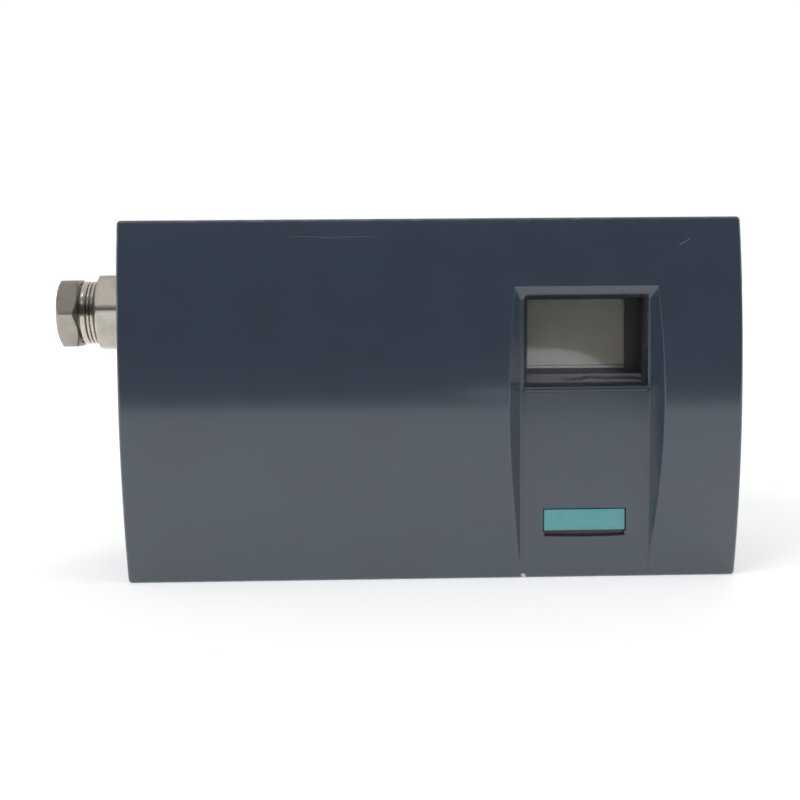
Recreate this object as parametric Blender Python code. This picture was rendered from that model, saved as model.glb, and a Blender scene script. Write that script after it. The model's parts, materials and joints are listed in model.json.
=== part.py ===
# Electropneumatic valve positioner with an arched cover, in metres, +Z up.
# The front faces -Y. The origin is the middle of the flat rear mounting face.
# A depth is a distance in front of that face, so a depth of 0.05 lies at Y = -0.05.

import math

import bmesh
import bpy
from mathutils import Matrix, Vector

for leftover in list(bpy.data.objects):
    bpy.data.objects.remove(leftover, do_unlink=True)

# Housing and cover
BODY_WIDTH = 0.185
BODY_HEIGHT = 0.109
BASE_DEPTH = 0.050
BASE_WALL = 0.0045
BASE_BACK = 0.005
COVER_SIDE_DEPTH = 0.027
CROWN_RISE = 0.007
COVER_WALL = 0.003
EDGE_ROUND = 0.0012
SEAM_GAP = 0.0004
PART_GAP = 0.0003
RUNNING_GAP = 0.0001
ARCH_STEPS = 16
ROUND_STEPS = 24
SMALL_ROUND_STEPS = 14
SCREW_STEPS = 10
HEX_POINTS_PER_SIDE = 4
BEVEL_STEPS = 2
FLANK_POINTS = 3
SLOT_STEPS = 8
SMOOTH_ANGLE = math.radians(35)
SHARP_ANGLE = math.radians(30)

# Seal between housing and cover
SEAL_WIDTH = 0.0020
SEAL_HEIGHT = 0.0014
SEAL_EDGE = 0.0011

# Cover screws, which come in from the rear corners
SCREW_CORNER_INSET = 0.0085
SCREW_RADIUS = 0.0020
SCREW_HEAD_RADIUS = 0.0037
SCREW_HEAD_HEIGHT = 0.0034
SCREW_SOCKET_RADIUS = 0.0017
SCREW_SOCKET_SHARE = 0.6
SCREW_SEAT_DEPTH = 0.0055
SCREW_REACH = 0.011
PILLAR_WIDTH = 0.0125
COVER_BOSS_RADIUS = 0.0062

# Pocket in the cover's face that holds the window and the name plate
POCKET_FROM_RIGHT = 0.0465
POCKET_WIDTH = 0.0390
POCKET_FROM_TOP = 0.0219
POCKET_FLOOR_RISE = 0.0017
POCKET_DRAFT = math.radians(30.0)
POCKET_CORNER = 0.0012
WINDOW_WIDTH = 0.0376
WINDOW_HEIGHT = 0.0280
WINDOW_SHIFT = 0.0004
WINDOW_FROM_POCKET_TOP = 0.0007
WINDOW_CORNER = 0.0008
WINDOW_LIP_WIDTH = 0.0008
WINDOW_LIP_HEIGHT = 0.0005
PANE_SETBACK = 0.0008
PANE_THICKNESS = 0.0020
FRAME_WALL = 0.0013
FRAME_DEPTH = 0.0070
FRAME_FLANGE = 0.0022
FRAME_FLANGE_THICKNESS = 0.0010
PLATE_WIDTH = 0.0258
PLATE_HEIGHT = 0.0078
PLATE_THICKNESS = 0.0008
PLATE_FROM_BOTTOM = 0.0183
PLATE_SETBACK = 0.0003
SLOT_HEIGHT = 0.0015
SLOT_DEPTH = 0.0019
SLOT_LAP = 0.0006
SLOT_SAG = 0.0004

# Cable entries in the left wall
ENTRY_DEPTH = 0.0205
ENTRY_FROM_SCREW = 0.0207
ENTRY_THREAD_RADIUS = 0.0100
GLAND_WASHER_THICKNESS = 0.0015
GLAND_COLLAR_LENGTH = 0.0062
GLAND_COLLAR_RADIUS = 0.0116
GLAND_BODY_FLATS = 0.024
GLAND_BODY_LENGTH = 0.0098
GLAND_NECK_LENGTH = 0.0049
GLAND_NECK_RADIUS = 0.0096
GLAND_NUT_FLATS = 0.022
GLAND_NUT_LENGTH = 0.0070
GLAND_NUT_TOP = 0.0030
GLAND_THREAD_LENGTH = 0.0105
GLAND_BORE_RADIUS = 0.0068
GLAND_MOUTH_RADIUS = 0.0062
SEAL_BORE_RADIUS = 0.0045
SEAL_LENGTH = 0.0090
LOCKNUT_FLATS = 0.024
LOCKNUT_LENGTH = 0.0045
PLUG_HEAD_FLATS = 0.022
PLUG_HEAD_LENGTH = 0.0042
PLUG_SOCKET_RADIUS = 0.0040

# Earth terminal between the entries
EARTH_PLATE_RADIUS = 0.0050
EARTH_PLATE_THICKNESS = 0.0015
EARTH_SCREW_RADIUS = 0.0020
EARTH_HEAD_RADIUS = 0.0038
EARTH_HEAD_LENGTH = 0.0028

# Pneumatic block in the right wall
BLOCK_WIDTH = 0.0215
BLOCK_FACE_FROM_BACK = 0.008
BLOCK_FACE_FROM_SEAM = 0.008
BLOCK_CORNER = 0.0015
BLOCK_FLANGE = 0.0018
BLOCK_PILLAR_GAP = 0.00275
PORT_FROM_END = 0.009
PORT_ROW_GAP = 0.0135
PASSAGE_RADIUS = 0.0020
PORT_RADIUS = 0.0059
PORT_LENGTH = 0.013
PORT_CHAMFER = 0.0012
RESTRICTOR_RADIUS = 0.0030
RESTRICTOR_LENGTH = 0.0085
RESTRICTOR_HEX = 0.0025
RESTRICTOR_HEX_DEPTH = 0.003
RESTRICTOR_SETBACK = 0.0006
RESTRICTOR_FROM_EDGE = 0.0065
SILENCER_RADIUS = 0.0046
SILENCER_CROWN = 0.0006
SILENCER_LENGTH = 0.0055
MANIFOLD_WIDTH = 0.0270
MANIFOLD_LAP = 0.005
MANIFOLD_CORNER = 0.002
MANIFOLD_PASSAGE_WALL = 0.0018
VALVE_HEADROOM = 0.0011
GASKET_THICKNESS = 0.0010
PILOT_WIDTH = 0.020
PILOT_HEIGHT = 0.014
PILOT_GAP = 0.0065
COIL_RADIUS = 0.0052
COIL_LENGTH = 0.003
REGULATOR_RADIUS = 0.0085
REGULATOR_LENGTH = 0.0075

# Mounting inserts and feedback shaft at the rear
SHAFT_X = -0.020
INSERT_SPACING = 0.050
INSERT_RADIUS = 0.0055
INSERT_BORE_RADIUS = 0.00335
INSERT_LENGTH = 0.011
INSERT_BOSS_WALL = 0.0020
SHAFT_RADIUS = 0.0040
SHAFT_OUTSIDE = 0.020
SHAFT_FLAT_LENGTH = 0.014
SHAFT_FLAT_CUT = 0.0010
BUSH_RADIUS = 0.0070
BUSH_FLANGE_RADIUS = 0.0092
BUSH_FLANGE_THICKNESS = 0.0015
BUSH_LENGTH = 0.0120
CLIP_RADIUS = 0.0060
CLIP_THICKNESS = 0.0010
CLIP_GROOVE_CUT = 0.0005
CLIP_MOUTH = 0.0030
CLIP_STEPS = 20

# Feedback gearing
GEAR_MODULE = 0.0008
DRIVE_TEETH = 45
PINION_TEETH = 15
GEAR_FACE = 0.0040
GEAR_BACKLASH = 0.00024
PRESSURE_ANGLE = math.radians(20.0)
GEAR_ROOT_SPREAD = 0.12
GEAR_DEDENDUM = 1.25
GEAR_STANDOFF = 0.0027
GEAR_HUB_RADIUS = 0.0075
PINION_HUB_RADIUS = 0.0036
POT_SHAFT_RADIUS = 0.0020
POT_RADIUS = 0.0080
POT_LENGTH = 0.0070
CARRIER_GAP = 0.0017
CARRIER_THICKNESS = 0.0018
CARRIER_LAP_LEFT = 0.005
CARRIER_LAP_RIGHT = 0.018
CARRIER_TOP = 0.024
CARRIER_LAP_BOTTOM = 0.014
CARRIER_POST_RADIUS = 0.0028
SPRING_WASHER_THICKNESS = 0.0010
WHEEL_RADIUS = 0.0135
WHEEL_GAP = 0.0014
WHEEL_LENGTH = 0.0095
WHEEL_GRIPS = 16
WHEEL_GRIP_CUT = 0.0008
CLUTCH_NUT_FLATS = 0.0120
SELECTOR_FROM_SHAFT = 0.0230
SELECTOR_WIDTH = 0.0060
SELECTOR_HEIGHT = 0.0080
SELECTOR_FOOT = 0.0020
SELECTOR_STEM = 0.0030
SELECTOR_KNOB_LENGTH = 0.0028
SELECTOR_TRAVEL = 0.0040

# Main board, terminals and module cover
BOARD_THICKNESS = 0.0016
BOARD_GAP_LEFT = 0.0100
BOARD_GAP_RIGHT = 0.0039
BOARD_GAP_TOP = 0.0040
BOARD_CORNER_CUT = 0.0070
POST_INSET_LEFT = 0.0240
POST_INSET_RIGHT = 0.0045
POST_INSET_TOP = 0.0048
POST_RADIUS = 0.0030
POST_SCREW_RADIUS = 0.0013
POST_SCREW_REACH = 0.0080
TERMINAL_WIDTH = 0.0115
TERMINAL_LENGTH = 0.0135
TERMINAL_PITCH = 0.0055
TERMINAL_WAYS = 6
TERMINAL_MIDDLE_Z = 0.0215
TERMINAL_INSET = 0.0085
TERMINAL_SCREW_RADIUS = 0.0016
TERMINAL_SCREW_STEPS = 8
TERMINAL_ENTRY = 0.0034
TERMINAL_ENTRY_SHARE = 0.35
TERMINAL_SHOULDER_SHARE = 0.7
MODULE_STANDOFF = 0.0101
MODULE_THICKNESS = 0.0020
MODULE_SINK = 0.0018
MODULE_SETBACK = 0.0180
MODULE_LAP_RIGHT = 0.0025
MODULE_GAP_TOP = 0.0030
MODULE_CORNER = 0.0030
TOWER_LAP_LEFT = 0.0051
TOWER_LAP_RIGHT = 0.0038
TOWER_LAP_TOP = 0.0046
TOWER_KEY_PANEL = 0.0229
TOWER_CLEARANCE = 0.0019
TOWER_WALL = 0.0016

# Display and keys
DISPLAY_WIDTH = 0.0338
DISPLAY_HEIGHT = 0.0213
DISPLAY_SHIFT = 0.0033
DISPLAY_FROM_TOP = 0.0020
DISPLAY_LAP = 0.0015
DISPLAY_THICKNESS = 0.0042
KEY_COUNT = 3
KEY_SPACING = 0.0130
KEY_FROM_TOWER_END = 0.0110
KEY_RADIUS = 0.0036
KEY_FLANGE_RADIUS = 0.0046
KEY_FLANGE_THICKNESS = 0.0008
KEY_PROUD = 0.0026
KEY_EDGE = 0.0006
KEY_TRAVEL = 0.0012
SWITCH_WIDTH = 0.0060

# Worked out from the sizes above
HALF_WIDTH = BODY_WIDTH / 2
HALF_HEIGHT = BODY_HEIGHT / 2
COVER_BACK = BASE_DEPTH + SEAM_GAP
COVER_EDGE = BASE_DEPTH + COVER_SIDE_DEPTH
CROWN_DEPTH = COVER_EDGE + CROWN_RISE
ARCH_RADIUS = (HALF_HEIGHT ** 2 + CROWN_RISE ** 2) / (2 * CROWN_RISE)
ARCH_CENTRE = CROWN_DEPTH - ARCH_RADIUS
POCKET_FLOOR = COVER_EDGE + POCKET_FLOOR_RISE
POCKET_BACK = POCKET_FLOOR - COVER_WALL
POCKET_MIDDLE_X = HALF_WIDTH - POCKET_FROM_RIGHT
POCKET_TOP = HALF_HEIGHT - POCKET_FROM_TOP
WINDOW_MIDDLE_X = POCKET_MIDDLE_X + WINDOW_SHIFT
WINDOW_TOP = POCKET_TOP - WINDOW_FROM_POCKET_TOP
WINDOW_MIDDLE_Z = WINDOW_TOP - WINDOW_HEIGHT / 2
PLATE_MIDDLE_Z = PLATE_FROM_BOTTOM - HALF_HEIGHT
SCREW_X = HALF_WIDTH - SCREW_CORNER_INSET
SCREW_Z = HALF_HEIGHT - SCREW_CORNER_INSET
ENTRY_Z = SCREW_Z - ENTRY_FROM_SCREW

# Depths inside, back to front for the gears and front to back for the electronics
BUSH_END = PART_GAP + BUSH_LENGTH
BUSH_FLANGE_END = BUSH_END + BUSH_FLANGE_THICKNESS
GEAR_DEPTH = BUSH_FLANGE_END + GEAR_STANDOFF
GEAR_CENTRES = GEAR_MODULE * (DRIVE_TEETH + PINION_TEETH) / 2
CARRIER_DEPTH = GEAR_DEPTH + GEAR_FACE + CARRIER_GAP
CARRIER_FRONT = CARRIER_DEPTH + CARRIER_THICKNESS
MODULE_FRONT = BASE_DEPTH - MODULE_SINK
MODULE_DEPTH = MODULE_FRONT - MODULE_THICKNESS
BOARD_FRONT = MODULE_DEPTH - MODULE_STANDOFF
BOARD_DEPTH = BOARD_FRONT - BOARD_THICKNESS
WHEEL_DEPTH = BOARD_FRONT + WHEEL_GAP
WHEEL_FRONT = WHEEL_DEPTH + WHEEL_LENGTH
TOWER_DEPTH = POCKET_BACK - PART_GAP - FRAME_DEPTH - TOWER_CLEARANCE

# Places across the box
SELECTOR_X = SHAFT_X - SELECTOR_FROM_SHAFT
BLOCK_FACE_DEPTH_HIGH = BASE_DEPTH - BLOCK_FACE_FROM_SEAM
BLOCK_FACE_HEIGHT = 2 * (SCREW_Z - PILLAR_WIDTH / 2 - BLOCK_PILLAR_GAP)
PORT_SPACING = BLOCK_FACE_HEIGHT / 2 - PORT_FROM_END
RESTRICTOR_DEPTH = BLOCK_FACE_FROM_BACK + RESTRICTOR_FROM_EDGE
PORT_DEPTH = RESTRICTOR_DEPTH + PORT_ROW_GAP
PILOT_Z = REGULATOR_RADIUS + PILOT_GAP + PILOT_HEIGHT / 2
MANIFOLD_HEIGHT = BLOCK_FACE_HEIGHT + 2 * MANIFOLD_LAP
MANIFOLD_RIGHT = HALF_WIDTH - BLOCK_WIDTH - 2 * PART_GAP - GASKET_THICKNESS
MANIFOLD_LEFT = MANIFOLD_RIGHT - MANIFOLD_WIDTH
MANIFOLD_FRONT = PORT_DEPTH + PASSAGE_RADIUS + MANIFOLD_PASSAGE_WALL
PILOT_LENGTH = MODULE_DEPTH - VALVE_HEADROOM - COIL_LENGTH - MANIFOLD_FRONT - PART_GAP
BOARD_LEFT = BASE_WALL + BOARD_GAP_LEFT - HALF_WIDTH
BOARD_RIGHT = MANIFOLD_LEFT - BOARD_GAP_RIGHT
BOARD_TOP = HALF_HEIGHT - BASE_WALL - BOARD_GAP_TOP
TERMINAL_MIDDLE_X = BOARD_LEFT + TERMINAL_INSET
TOWER_LEFT = WINDOW_MIDDLE_X - WINDOW_WIDTH / 2 - TOWER_LAP_LEFT
TOWER_RIGHT = WINDOW_MIDDLE_X + WINDOW_WIDTH / 2 + TOWER_LAP_RIGHT
TOWER_TOP = WINDOW_TOP + TOWER_LAP_TOP
TOWER_BOTTOM = WINDOW_TOP - WINDOW_HEIGHT - TOWER_KEY_PANEL
MODULE_LEFT = BOARD_LEFT + MODULE_SETBACK
MODULE_RIGHT = TOWER_RIGHT + MODULE_LAP_RIGHT
MODULE_HEIGHT = BODY_HEIGHT - 2 * (BASE_WALL + MODULE_GAP_TOP)

# How a piece is turned: its own +Z becomes the way it faces, its own +Y stays up where it can
FACING_FRONT = Matrix(((1, 0, 0, 0), (0, 0, -1, 0), (0, 1, 0, 0), (0, 0, 0, 1)))
FACING_RIGHT = Matrix(((0, 0, 1, 0), (1, 0, 0, 0), (0, 1, 0, 0), (0, 0, 0, 1)))
FACING_LEFT = Matrix(((0, 0, -1, 0), (-1, 0, 0, 0), (0, 1, 0, 0), (0, 0, 0, 1)))


# Materials
def finish(name, colour, roughness, metallic=0.0, alpha=1.0):
    """A Principled material with one colour, one roughness and one metallic value."""
    material = bpy.data.materials.new(name)
    material.use_nodes = True
    shader = material.node_tree.nodes["Principled BSDF"]
    shader.inputs["Base Color"].default_value = (*colour, 1.0)
    shader.inputs["Roughness"].default_value = roughness
    shader.inputs["Metallic"].default_value = metallic
    shader.inputs["Alpha"].default_value = alpha
    material.diffuse_color = (*colour, alpha)
    return material


SLATE_PLASTIC = finish("slate_plastic", (0.065, 0.085, 0.105), 0.38)
DARK_PLASTIC = finish("dark_plastic", (0.030, 0.034, 0.040), 0.45)
BLACK_RUBBER = finish("black_rubber", (0.015, 0.015, 0.016), 0.75)
CLEAR_PANE = finish("clear_pane", (0.80, 0.82, 0.82), 0.08, alpha=0.35)
TEAL_PAINT = finish("teal_paint", (0.120, 0.370, 0.380), 0.42)
NICKEL = finish("nickel", (0.62, 0.59, 0.54), 0.28, metallic=1.0)
STEEL = finish("steel", (0.56, 0.56, 0.55), 0.32, metallic=1.0)
BRASS = finish("brass", (0.72, 0.55, 0.25), 0.30, metallic=1.0)
BRONZE = finish("bronze", (0.45, 0.31, 0.18), 0.65, metallic=1.0)
ALUMINIUM = finish("aluminium", (0.60, 0.61, 0.62), 0.42, metallic=1.0)
PALE_PLASTIC = finish("pale_plastic", (0.62, 0.62, 0.58), 0.45)
YELLOW_PLASTIC = finish("yellow_plastic", (0.80, 0.58, 0.08), 0.45)
GREEN_PLASTIC = finish("green_plastic", (0.05, 0.26, 0.12), 0.45)
BOARD_GREEN = finish("board_green", (0.02, 0.14, 0.06), 0.50)
DISPLAY_GLASS = finish("display_glass", (0.105, 0.110, 0.090), 0.20)


# Outlines, as lists of (x, y) points that run counterclockwise
def rectangle(width, height, middle=(0.0, 0.0)):
    """Four corners of an upright rectangle."""
    x, y = middle
    return [
        (x - width / 2, y - height / 2),
        (x + width / 2, y - height / 2),
        (x + width / 2, y + height / 2),
        (x - width / 2, y + height / 2),
    ]


def rounded_rectangle(width, height, radius, middle=(0.0, 0.0), corner_steps=3):
    """A rectangle whose corners are quarter circles."""
    points = []
    for quarter, (side_x, side_y) in enumerate([(1, -1), (1, 1), (-1, 1), (-1, -1)]):
        centre_x = middle[0] + side_x * (width / 2 - radius)
        centre_y = middle[1] + side_y * (height / 2 - radius)
        for step in range(corner_steps + 1):
            angle = math.pi / 2 * (quarter - 1 + step / corner_steps)
            points.append((centre_x + radius * math.cos(angle), centre_y + radius * math.sin(angle)))
    return points


def circle(radius, steps=ROUND_STEPS, middle=(0.0, 0.0), start=0.0):
    """A regular polygon that stands for a circle, its first corner at a start angle."""
    turns = [start + 2 * math.pi * step / steps for step in range(steps)]
    return [(middle[0] + radius * math.cos(a), middle[1] + radius * math.sin(a)) for a in turns]


def hexagon(flats, per_side=HEX_POINTS_PER_SIDE):
    """A hexagon of a spanner size, a corner towards +X, with some points along each side."""
    corners = circle(flats / math.sqrt(3), 6)
    points = []
    for here, (x, y) in enumerate(corners):
        next_x, next_y = corners[(here + 1) % 6]
        for step in range(per_side):
            share = step / per_side
            points.append((x + (next_x - x) * share, y + (next_y - y) * share))
    return points


# Meshes, each built about its own origin
def skinned(bm, loops, ring=False):
    """Skin a row of loops of as many points each, then cap its ends or, for a ring, join them."""
    rows = [[bm.verts.new(point) for point in loop] for loop in loops]
    count = len(rows[0])
    pairs = list(zip(rows, rows[1:]))
    if ring:
        pairs.append((rows[-1], rows[0]))
    else:
        bm.faces.new(rows[0])
        bm.faces.new(rows[-1])
    for first, second in pairs:
        for here in range(count):
            after = (here + 1) % count
            bm.faces.new((first[here], first[after], second[after], second[here]))


def at_height(outline, height):
    """Lift an outline to a height along z."""
    return [(x, y, height) for x, y in outline]


def extruded(bm, outline, low, high):
    """A prism between z = low and z = high."""
    skinned(bm, [at_height(outline, low), at_height(outline, high)])


def framed(bm, outer, inner, low, high):
    """A ring with straight walls between two outlines that have as many points as each other."""
    skinned(bm, [at_height(outer, low), at_height(outer, high),
                 at_height(inner, high), at_height(inner, low)], ring=True)


def turned(bm, profile, steps=ROUND_STEPS, middle=(0.0, 0.0)):
    """Spin a closed profile of (radius, height) points a full turn about z.

    Two points on the axis aren't joined, because that edge would stay as a loose wire.
    """
    corners = [bm.verts.new((radius, 0, height)) for radius, height in profile]
    edges = []
    for here, corner in enumerate(corners):
        after = (here + 1) % len(corners)
        if profile[here][0] > 0 or profile[after][0] > 0:
            edges.append(bm.edges.new((corner, corners[after])))
    bmesh.ops.spin(bm, geom=corners + edges, cent=(0, 0, 0), axis=(0, 0, 1),
                   angle=2 * math.pi, steps=steps, use_merge=True)
    made = set(corners)
    reach = list(corners)
    while reach:
        for edge in reach.pop().link_edges:
            for end in edge.verts:
                if end not in made:
                    made.add(end)
                    reach.append(end)
    bmesh.ops.translate(bm, vec=(middle[0], middle[1], 0), verts=list(made))
    bmesh.ops.remove_doubles(bm, verts=list(made), dist=1e-7)


def rounds(rows):
    """Small circles for a row of (radius, height) points."""
    return [at_height(circle(radius, SMALL_ROUND_STEPS), height) for radius, height in rows]


def cylinder(bm, radius, low, high, steps=ROUND_STEPS, middle=(0.0, 0.0)):
    """A plain round bar."""
    extruded(bm, circle(radius, steps, middle), low, high)


def tube(bm, outer, inner, low, high, steps=ROUND_STEPS, middle=(0.0, 0.0)):
    """A round bar with a round hole through it."""
    framed(bm, circle(outer, steps, middle), circle(inner, steps, middle), low, high)


def piece(name, bm, material, place=(0, 0, 0), facing=FACING_FRONT, smooth=False):
    """Turn a bmesh into a named object, at its place, turned the way it faces."""
    bmesh.ops.recalc_face_normals(bm, faces=bm.faces)
    mesh = bpy.data.meshes.new(name)
    bm.to_mesh(mesh)
    bm.free()
    made = bpy.data.objects.new(name, mesh)
    bpy.context.scene.collection.objects.link(made)
    made.matrix_basis = Matrix.Translation(Vector(place)) @ facing
    mesh.materials.append(material)
    if smooth:
        mesh.shade_smooth()
        mesh.set_sharp_from_angle(angle=SMOOTH_ANGLE)
    return made


def copies(first, stem, points):
    """Number a piece and make one more object with its mesh at each further (x, z) point."""
    x, z = points[0]
    depth = first.matrix_basis.translation.y
    first.name = stem + "_1"
    first.matrix_basis.translation = (x, depth, z)
    made = [first]
    for count, (x, z) in enumerate(points[1:], start=2):
        copy = bpy.data.objects.new(f"{stem}_{count}", first.data)
        bpy.context.scene.collection.objects.link(copy)
        copy.matrix_basis = first.matrix_basis.copy()
        copy.matrix_basis.translation = (x, depth, z)
        made.append(copy)
    return made


def helper(name, bm, place=(0, 0, 0), facing=FACING_FRONT):
    """A guide solid that is cut from a piece or added to it, and isn't a piece itself."""
    made = piece(name, bm, DARK_PLASTIC, place, facing)
    made.hide_render = True
    made.display_type = "WIRE"
    return made


def combine(target, other, operation):
    """Cut a helper from a piece, or join it on."""
    boolean = target.modifiers.new(other.name, "BOOLEAN")
    boolean.operation = operation
    boolean.solver = "EXACT"
    boolean.object = other


def joint_empty(name, place):
    """An empty that marks the joint of a moving body and carries its pieces."""
    empty = bpy.data.objects.new(name, None)
    empty.location = place
    empty.empty_display_size = 0.01
    bpy.context.scene.collection.objects.link(empty)
    return empty


def carry(empty, pieces):
    """Parent pieces to an empty and leave them where they are."""
    for carried in pieces:
        carried.parent = empty
        carried.matrix_parent_inverse = empty.matrix_basis.inverted()


# Cover
def arched_block(bm, left, right, bottom, top, back, inset=0.0):
    """A block with a flat back whose front follows the cover's arch, set in from its surface.

    It is built facing right, so its own x is minus the depth, its y is up and its z runs to the right.
    """
    radius = ARCH_RADIUS - inset
    low = math.asin(bottom / radius)
    high = math.asin(top / radius)
    outline = [(-back, top), (-back, bottom)]
    for step in range(ARCH_STEPS + 1):
        angle = low + (high - low) * step / ARCH_STEPS
        outline.append((-(ARCH_CENTRE + radius * math.cos(angle)), radius * math.sin(angle)))
    extruded(bm, outline, left, right)


def arch_depth(z, inset=0.0):
    """Depth of the arch at a height, set in from the outer surface."""
    return ARCH_CENTRE + math.sqrt((ARCH_RADIUS - inset) ** 2 - z ** 2)


def soften(bm, width, keep, segments=BEVEL_STEPS):
    """Round every sharp edge, apart from those whose two ends both pass the test in keep."""
    bm.normal_update()
    bmesh.ops.recalc_face_normals(bm, faces=bm.faces)
    sharp = []
    for edge in bm.edges:
        kept = all(keep(end.co) for end in edge.verts)
        if not kept and edge.calc_face_angle(0.0) > SHARP_ANGLE:
            sharp.append(edge)
    bmesh.ops.bevel(bm, geom=sharp, offset=width, segments=segments, profile=0.5, affect="EDGES")


def grown_pocket(rise):
    """Outline of the drafted pocket at a height above its floor; it runs out past the bottom."""
    grow = rise * math.tan(POCKET_DRAFT)
    bottom = -HALF_HEIGHT - CROWN_RISE
    height = POCKET_TOP - bottom + 2 * grow
    middle = (POCKET_MIDDLE_X, (POCKET_TOP + bottom) / 2)
    return rounded_rectangle(POCKET_WIDTH + 2 * grow, height, POCKET_CORNER, middle)


def corner_points():
    """Where the four cover screws stand, as (x, z)."""
    return [(side * SCREW_X, up * SCREW_Z) for side in (-1, 1) for up in (-1, 1)]


def build_cover_shell():
    outer = bmesh.new()
    arched_block(outer, -HALF_WIDTH, HALF_WIDTH, -HALF_HEIGHT, HALF_HEIGHT, COVER_BACK)
    soften(outer, EDGE_ROUND, lambda at: abs(at.x + COVER_BACK) < 1e-6)
    shell = piece("cover_shell", outer, SLATE_PLASTIC, facing=FACING_RIGHT, smooth=True)

    core = bmesh.new()
    inner_x = HALF_WIDTH - COVER_WALL
    inner_z = HALF_HEIGHT - COVER_WALL
    arched_block(core, -inner_x, inner_x, -inner_z, inner_z, BASE_DEPTH, COVER_WALL)
    combine(shell, helper("cover_core_cut", core, facing=FACING_RIGHT), "DIFFERENCE")

    pad = bmesh.new()
    side = POCKET_WIDTH / 2 + (CROWN_DEPTH - POCKET_FLOOR) * math.tan(POCKET_DRAFT) + COVER_WALL
    pad_bottom = -math.sqrt((ARCH_RADIUS - COVER_WALL / 2) ** 2 - (POCKET_BACK - ARCH_CENTRE) ** 2)
    pad_bottom = max(pad_bottom, -inner_z)
    arched_block(pad, POCKET_MIDDLE_X - side, POCKET_MIDDLE_X + side, pad_bottom,
                 POCKET_TOP + 2 * COVER_WALL, POCKET_BACK, COVER_WALL / 2)
    combine(shell, helper("pocket_pad", pad, facing=FACING_RIGHT), "UNION")

    bosses = bmesh.new()
    for x, z in corner_points():
        cylinder(bosses, COVER_BOSS_RADIUS, COVER_BACK, arch_depth(z, COVER_WALL / 2),
                 SMALL_ROUND_STEPS, (x, z))
    combine(shell, helper("cover_bosses", bosses), "UNION")

    pocket = bmesh.new()
    rise = CROWN_DEPTH - POCKET_FLOOR + COVER_WALL
    skinned(pocket, [at_height(grown_pocket(0.0), POCKET_FLOOR),
                     at_height(grown_pocket(rise), POCKET_FLOOR + rise)])
    combine(shell, helper("pocket_cut", pocket), "DIFFERENCE")

    lip = bmesh.new()
    lip_z = WINDOW_MIDDLE_Z - WINDOW_HEIGHT / 2 - WINDOW_LIP_WIDTH
    extruded(lip, rectangle(WINDOW_WIDTH, WINDOW_LIP_WIDTH, (WINDOW_MIDDLE_X, lip_z)),
             POCKET_FLOOR - COVER_WALL / 2, POCKET_FLOOR + WINDOW_LIP_HEIGHT)
    combine(shell, helper("window_lip", lip), "UNION")

    openings = bmesh.new()
    extruded(openings, window_outline(0.0), POCKET_BACK - COVER_WALL, CROWN_DEPTH)
    extruded(openings, plate_outline(PART_GAP), POCKET_FLOOR - PLATE_SETBACK - PLATE_THICKNESS - PART_GAP,
             CROWN_DEPTH)
    for x, z in corner_points():
        cylinder(openings, SCREW_RADIUS + PART_GAP, BASE_DEPTH, COVER_BACK + SCREW_REACH + 2 * PART_GAP,
                 SMALL_ROUND_STEPS, (x, z))
    combine(shell, helper("cover_openings", openings), "DIFFERENCE")

    slot = bmesh.new()
    extruded(slot, slot_outline(), POCKET_FLOOR - SLOT_DEPTH, CROWN_DEPTH)
    combine(shell, helper("plate_slot_cut", slot), "DIFFERENCE")
    return shell


def window_outline(inset, grow=0.0):
    """The window opening, set in or grown on every side."""
    return rounded_rectangle(WINDOW_WIDTH - 2 * inset + 2 * grow, WINDOW_HEIGHT - 2 * inset + 2 * grow,
                             WINDOW_CORNER, (WINDOW_MIDDLE_X, WINDOW_MIDDLE_Z))


def plate_outline(grow):
    """The name plate's outline, grown on every side."""
    return rectangle(PLATE_WIDTH + 2 * grow, PLATE_HEIGHT + 2 * grow, (POCKET_MIDDLE_X, PLATE_MIDDLE_Z))


def slot_outline():
    """The lever slot under the plate, with a lower edge that sags to the middle."""
    half = PLATE_WIDTH / 2 - SLOT_LAP
    top = PLATE_MIDDLE_Z - PLATE_HEIGHT / 2 + SLOT_LAP
    low = PLATE_MIDDLE_Z - PLATE_HEIGHT / 2 - PART_GAP - SLOT_HEIGHT
    outline = [(POCKET_MIDDLE_X + half, top), (POCKET_MIDDLE_X - half, top)]
    for step in range(SLOT_STEPS + 1):
        share = 2 * step / SLOT_STEPS - 1
        outline.append((POCKET_MIDDLE_X + half * share, low - SLOT_SAG * (1 - share ** 2)))
    return outline


def build_window():
    front = POCKET_FLOOR - PANE_SETBACK
    pane = bmesh.new()
    extruded(pane, window_outline(PART_GAP), front - PANE_THICKNESS, front)
    pane = piece("window_pane", pane, CLEAR_PANE)

    flange_front = POCKET_BACK - PART_GAP
    flange_back = flange_front - FRAME_FLANGE_THICKNESS
    back = flange_front - FRAME_DEPTH
    frame = bmesh.new()
    skinned(frame, [at_height(window_outline(0.0), back),
                    at_height(window_outline(0.0), flange_back),
                    at_height(window_outline(0.0, FRAME_FLANGE), flange_back),
                    at_height(window_outline(0.0, FRAME_FLANGE), flange_front),
                    at_height(window_outline(FRAME_WALL), flange_front),
                    at_height(window_outline(FRAME_WALL), back)], ring=True)
    return [pane, piece("window_frame", frame, DARK_PLASTIC)]


def build_name_plate():
    plate = bmesh.new()
    front = POCKET_FLOOR - PLATE_SETBACK
    extruded(plate, plate_outline(0.0), front - PLATE_THICKNESS, front)
    return piece("name_plate", plate, TEAL_PAINT)


# Screws with a socket in the head
def socket_screw(bm, shank, head, head_length, length, socket, seat=0.0):
    """A screw along z whose head stands on z = seat and whose shank runs down from there."""
    socket_depth = head_length * SCREW_SOCKET_SHARE
    rows = [(shank, seat - length), (shank, seat), (head, seat), (head, seat + head_length),
            (socket, seat + head_length), (socket, seat + head_length - socket_depth)]
    skinned(bm, [at_height(circle(radius, SCREW_STEPS), height) for radius, height in rows])


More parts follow.
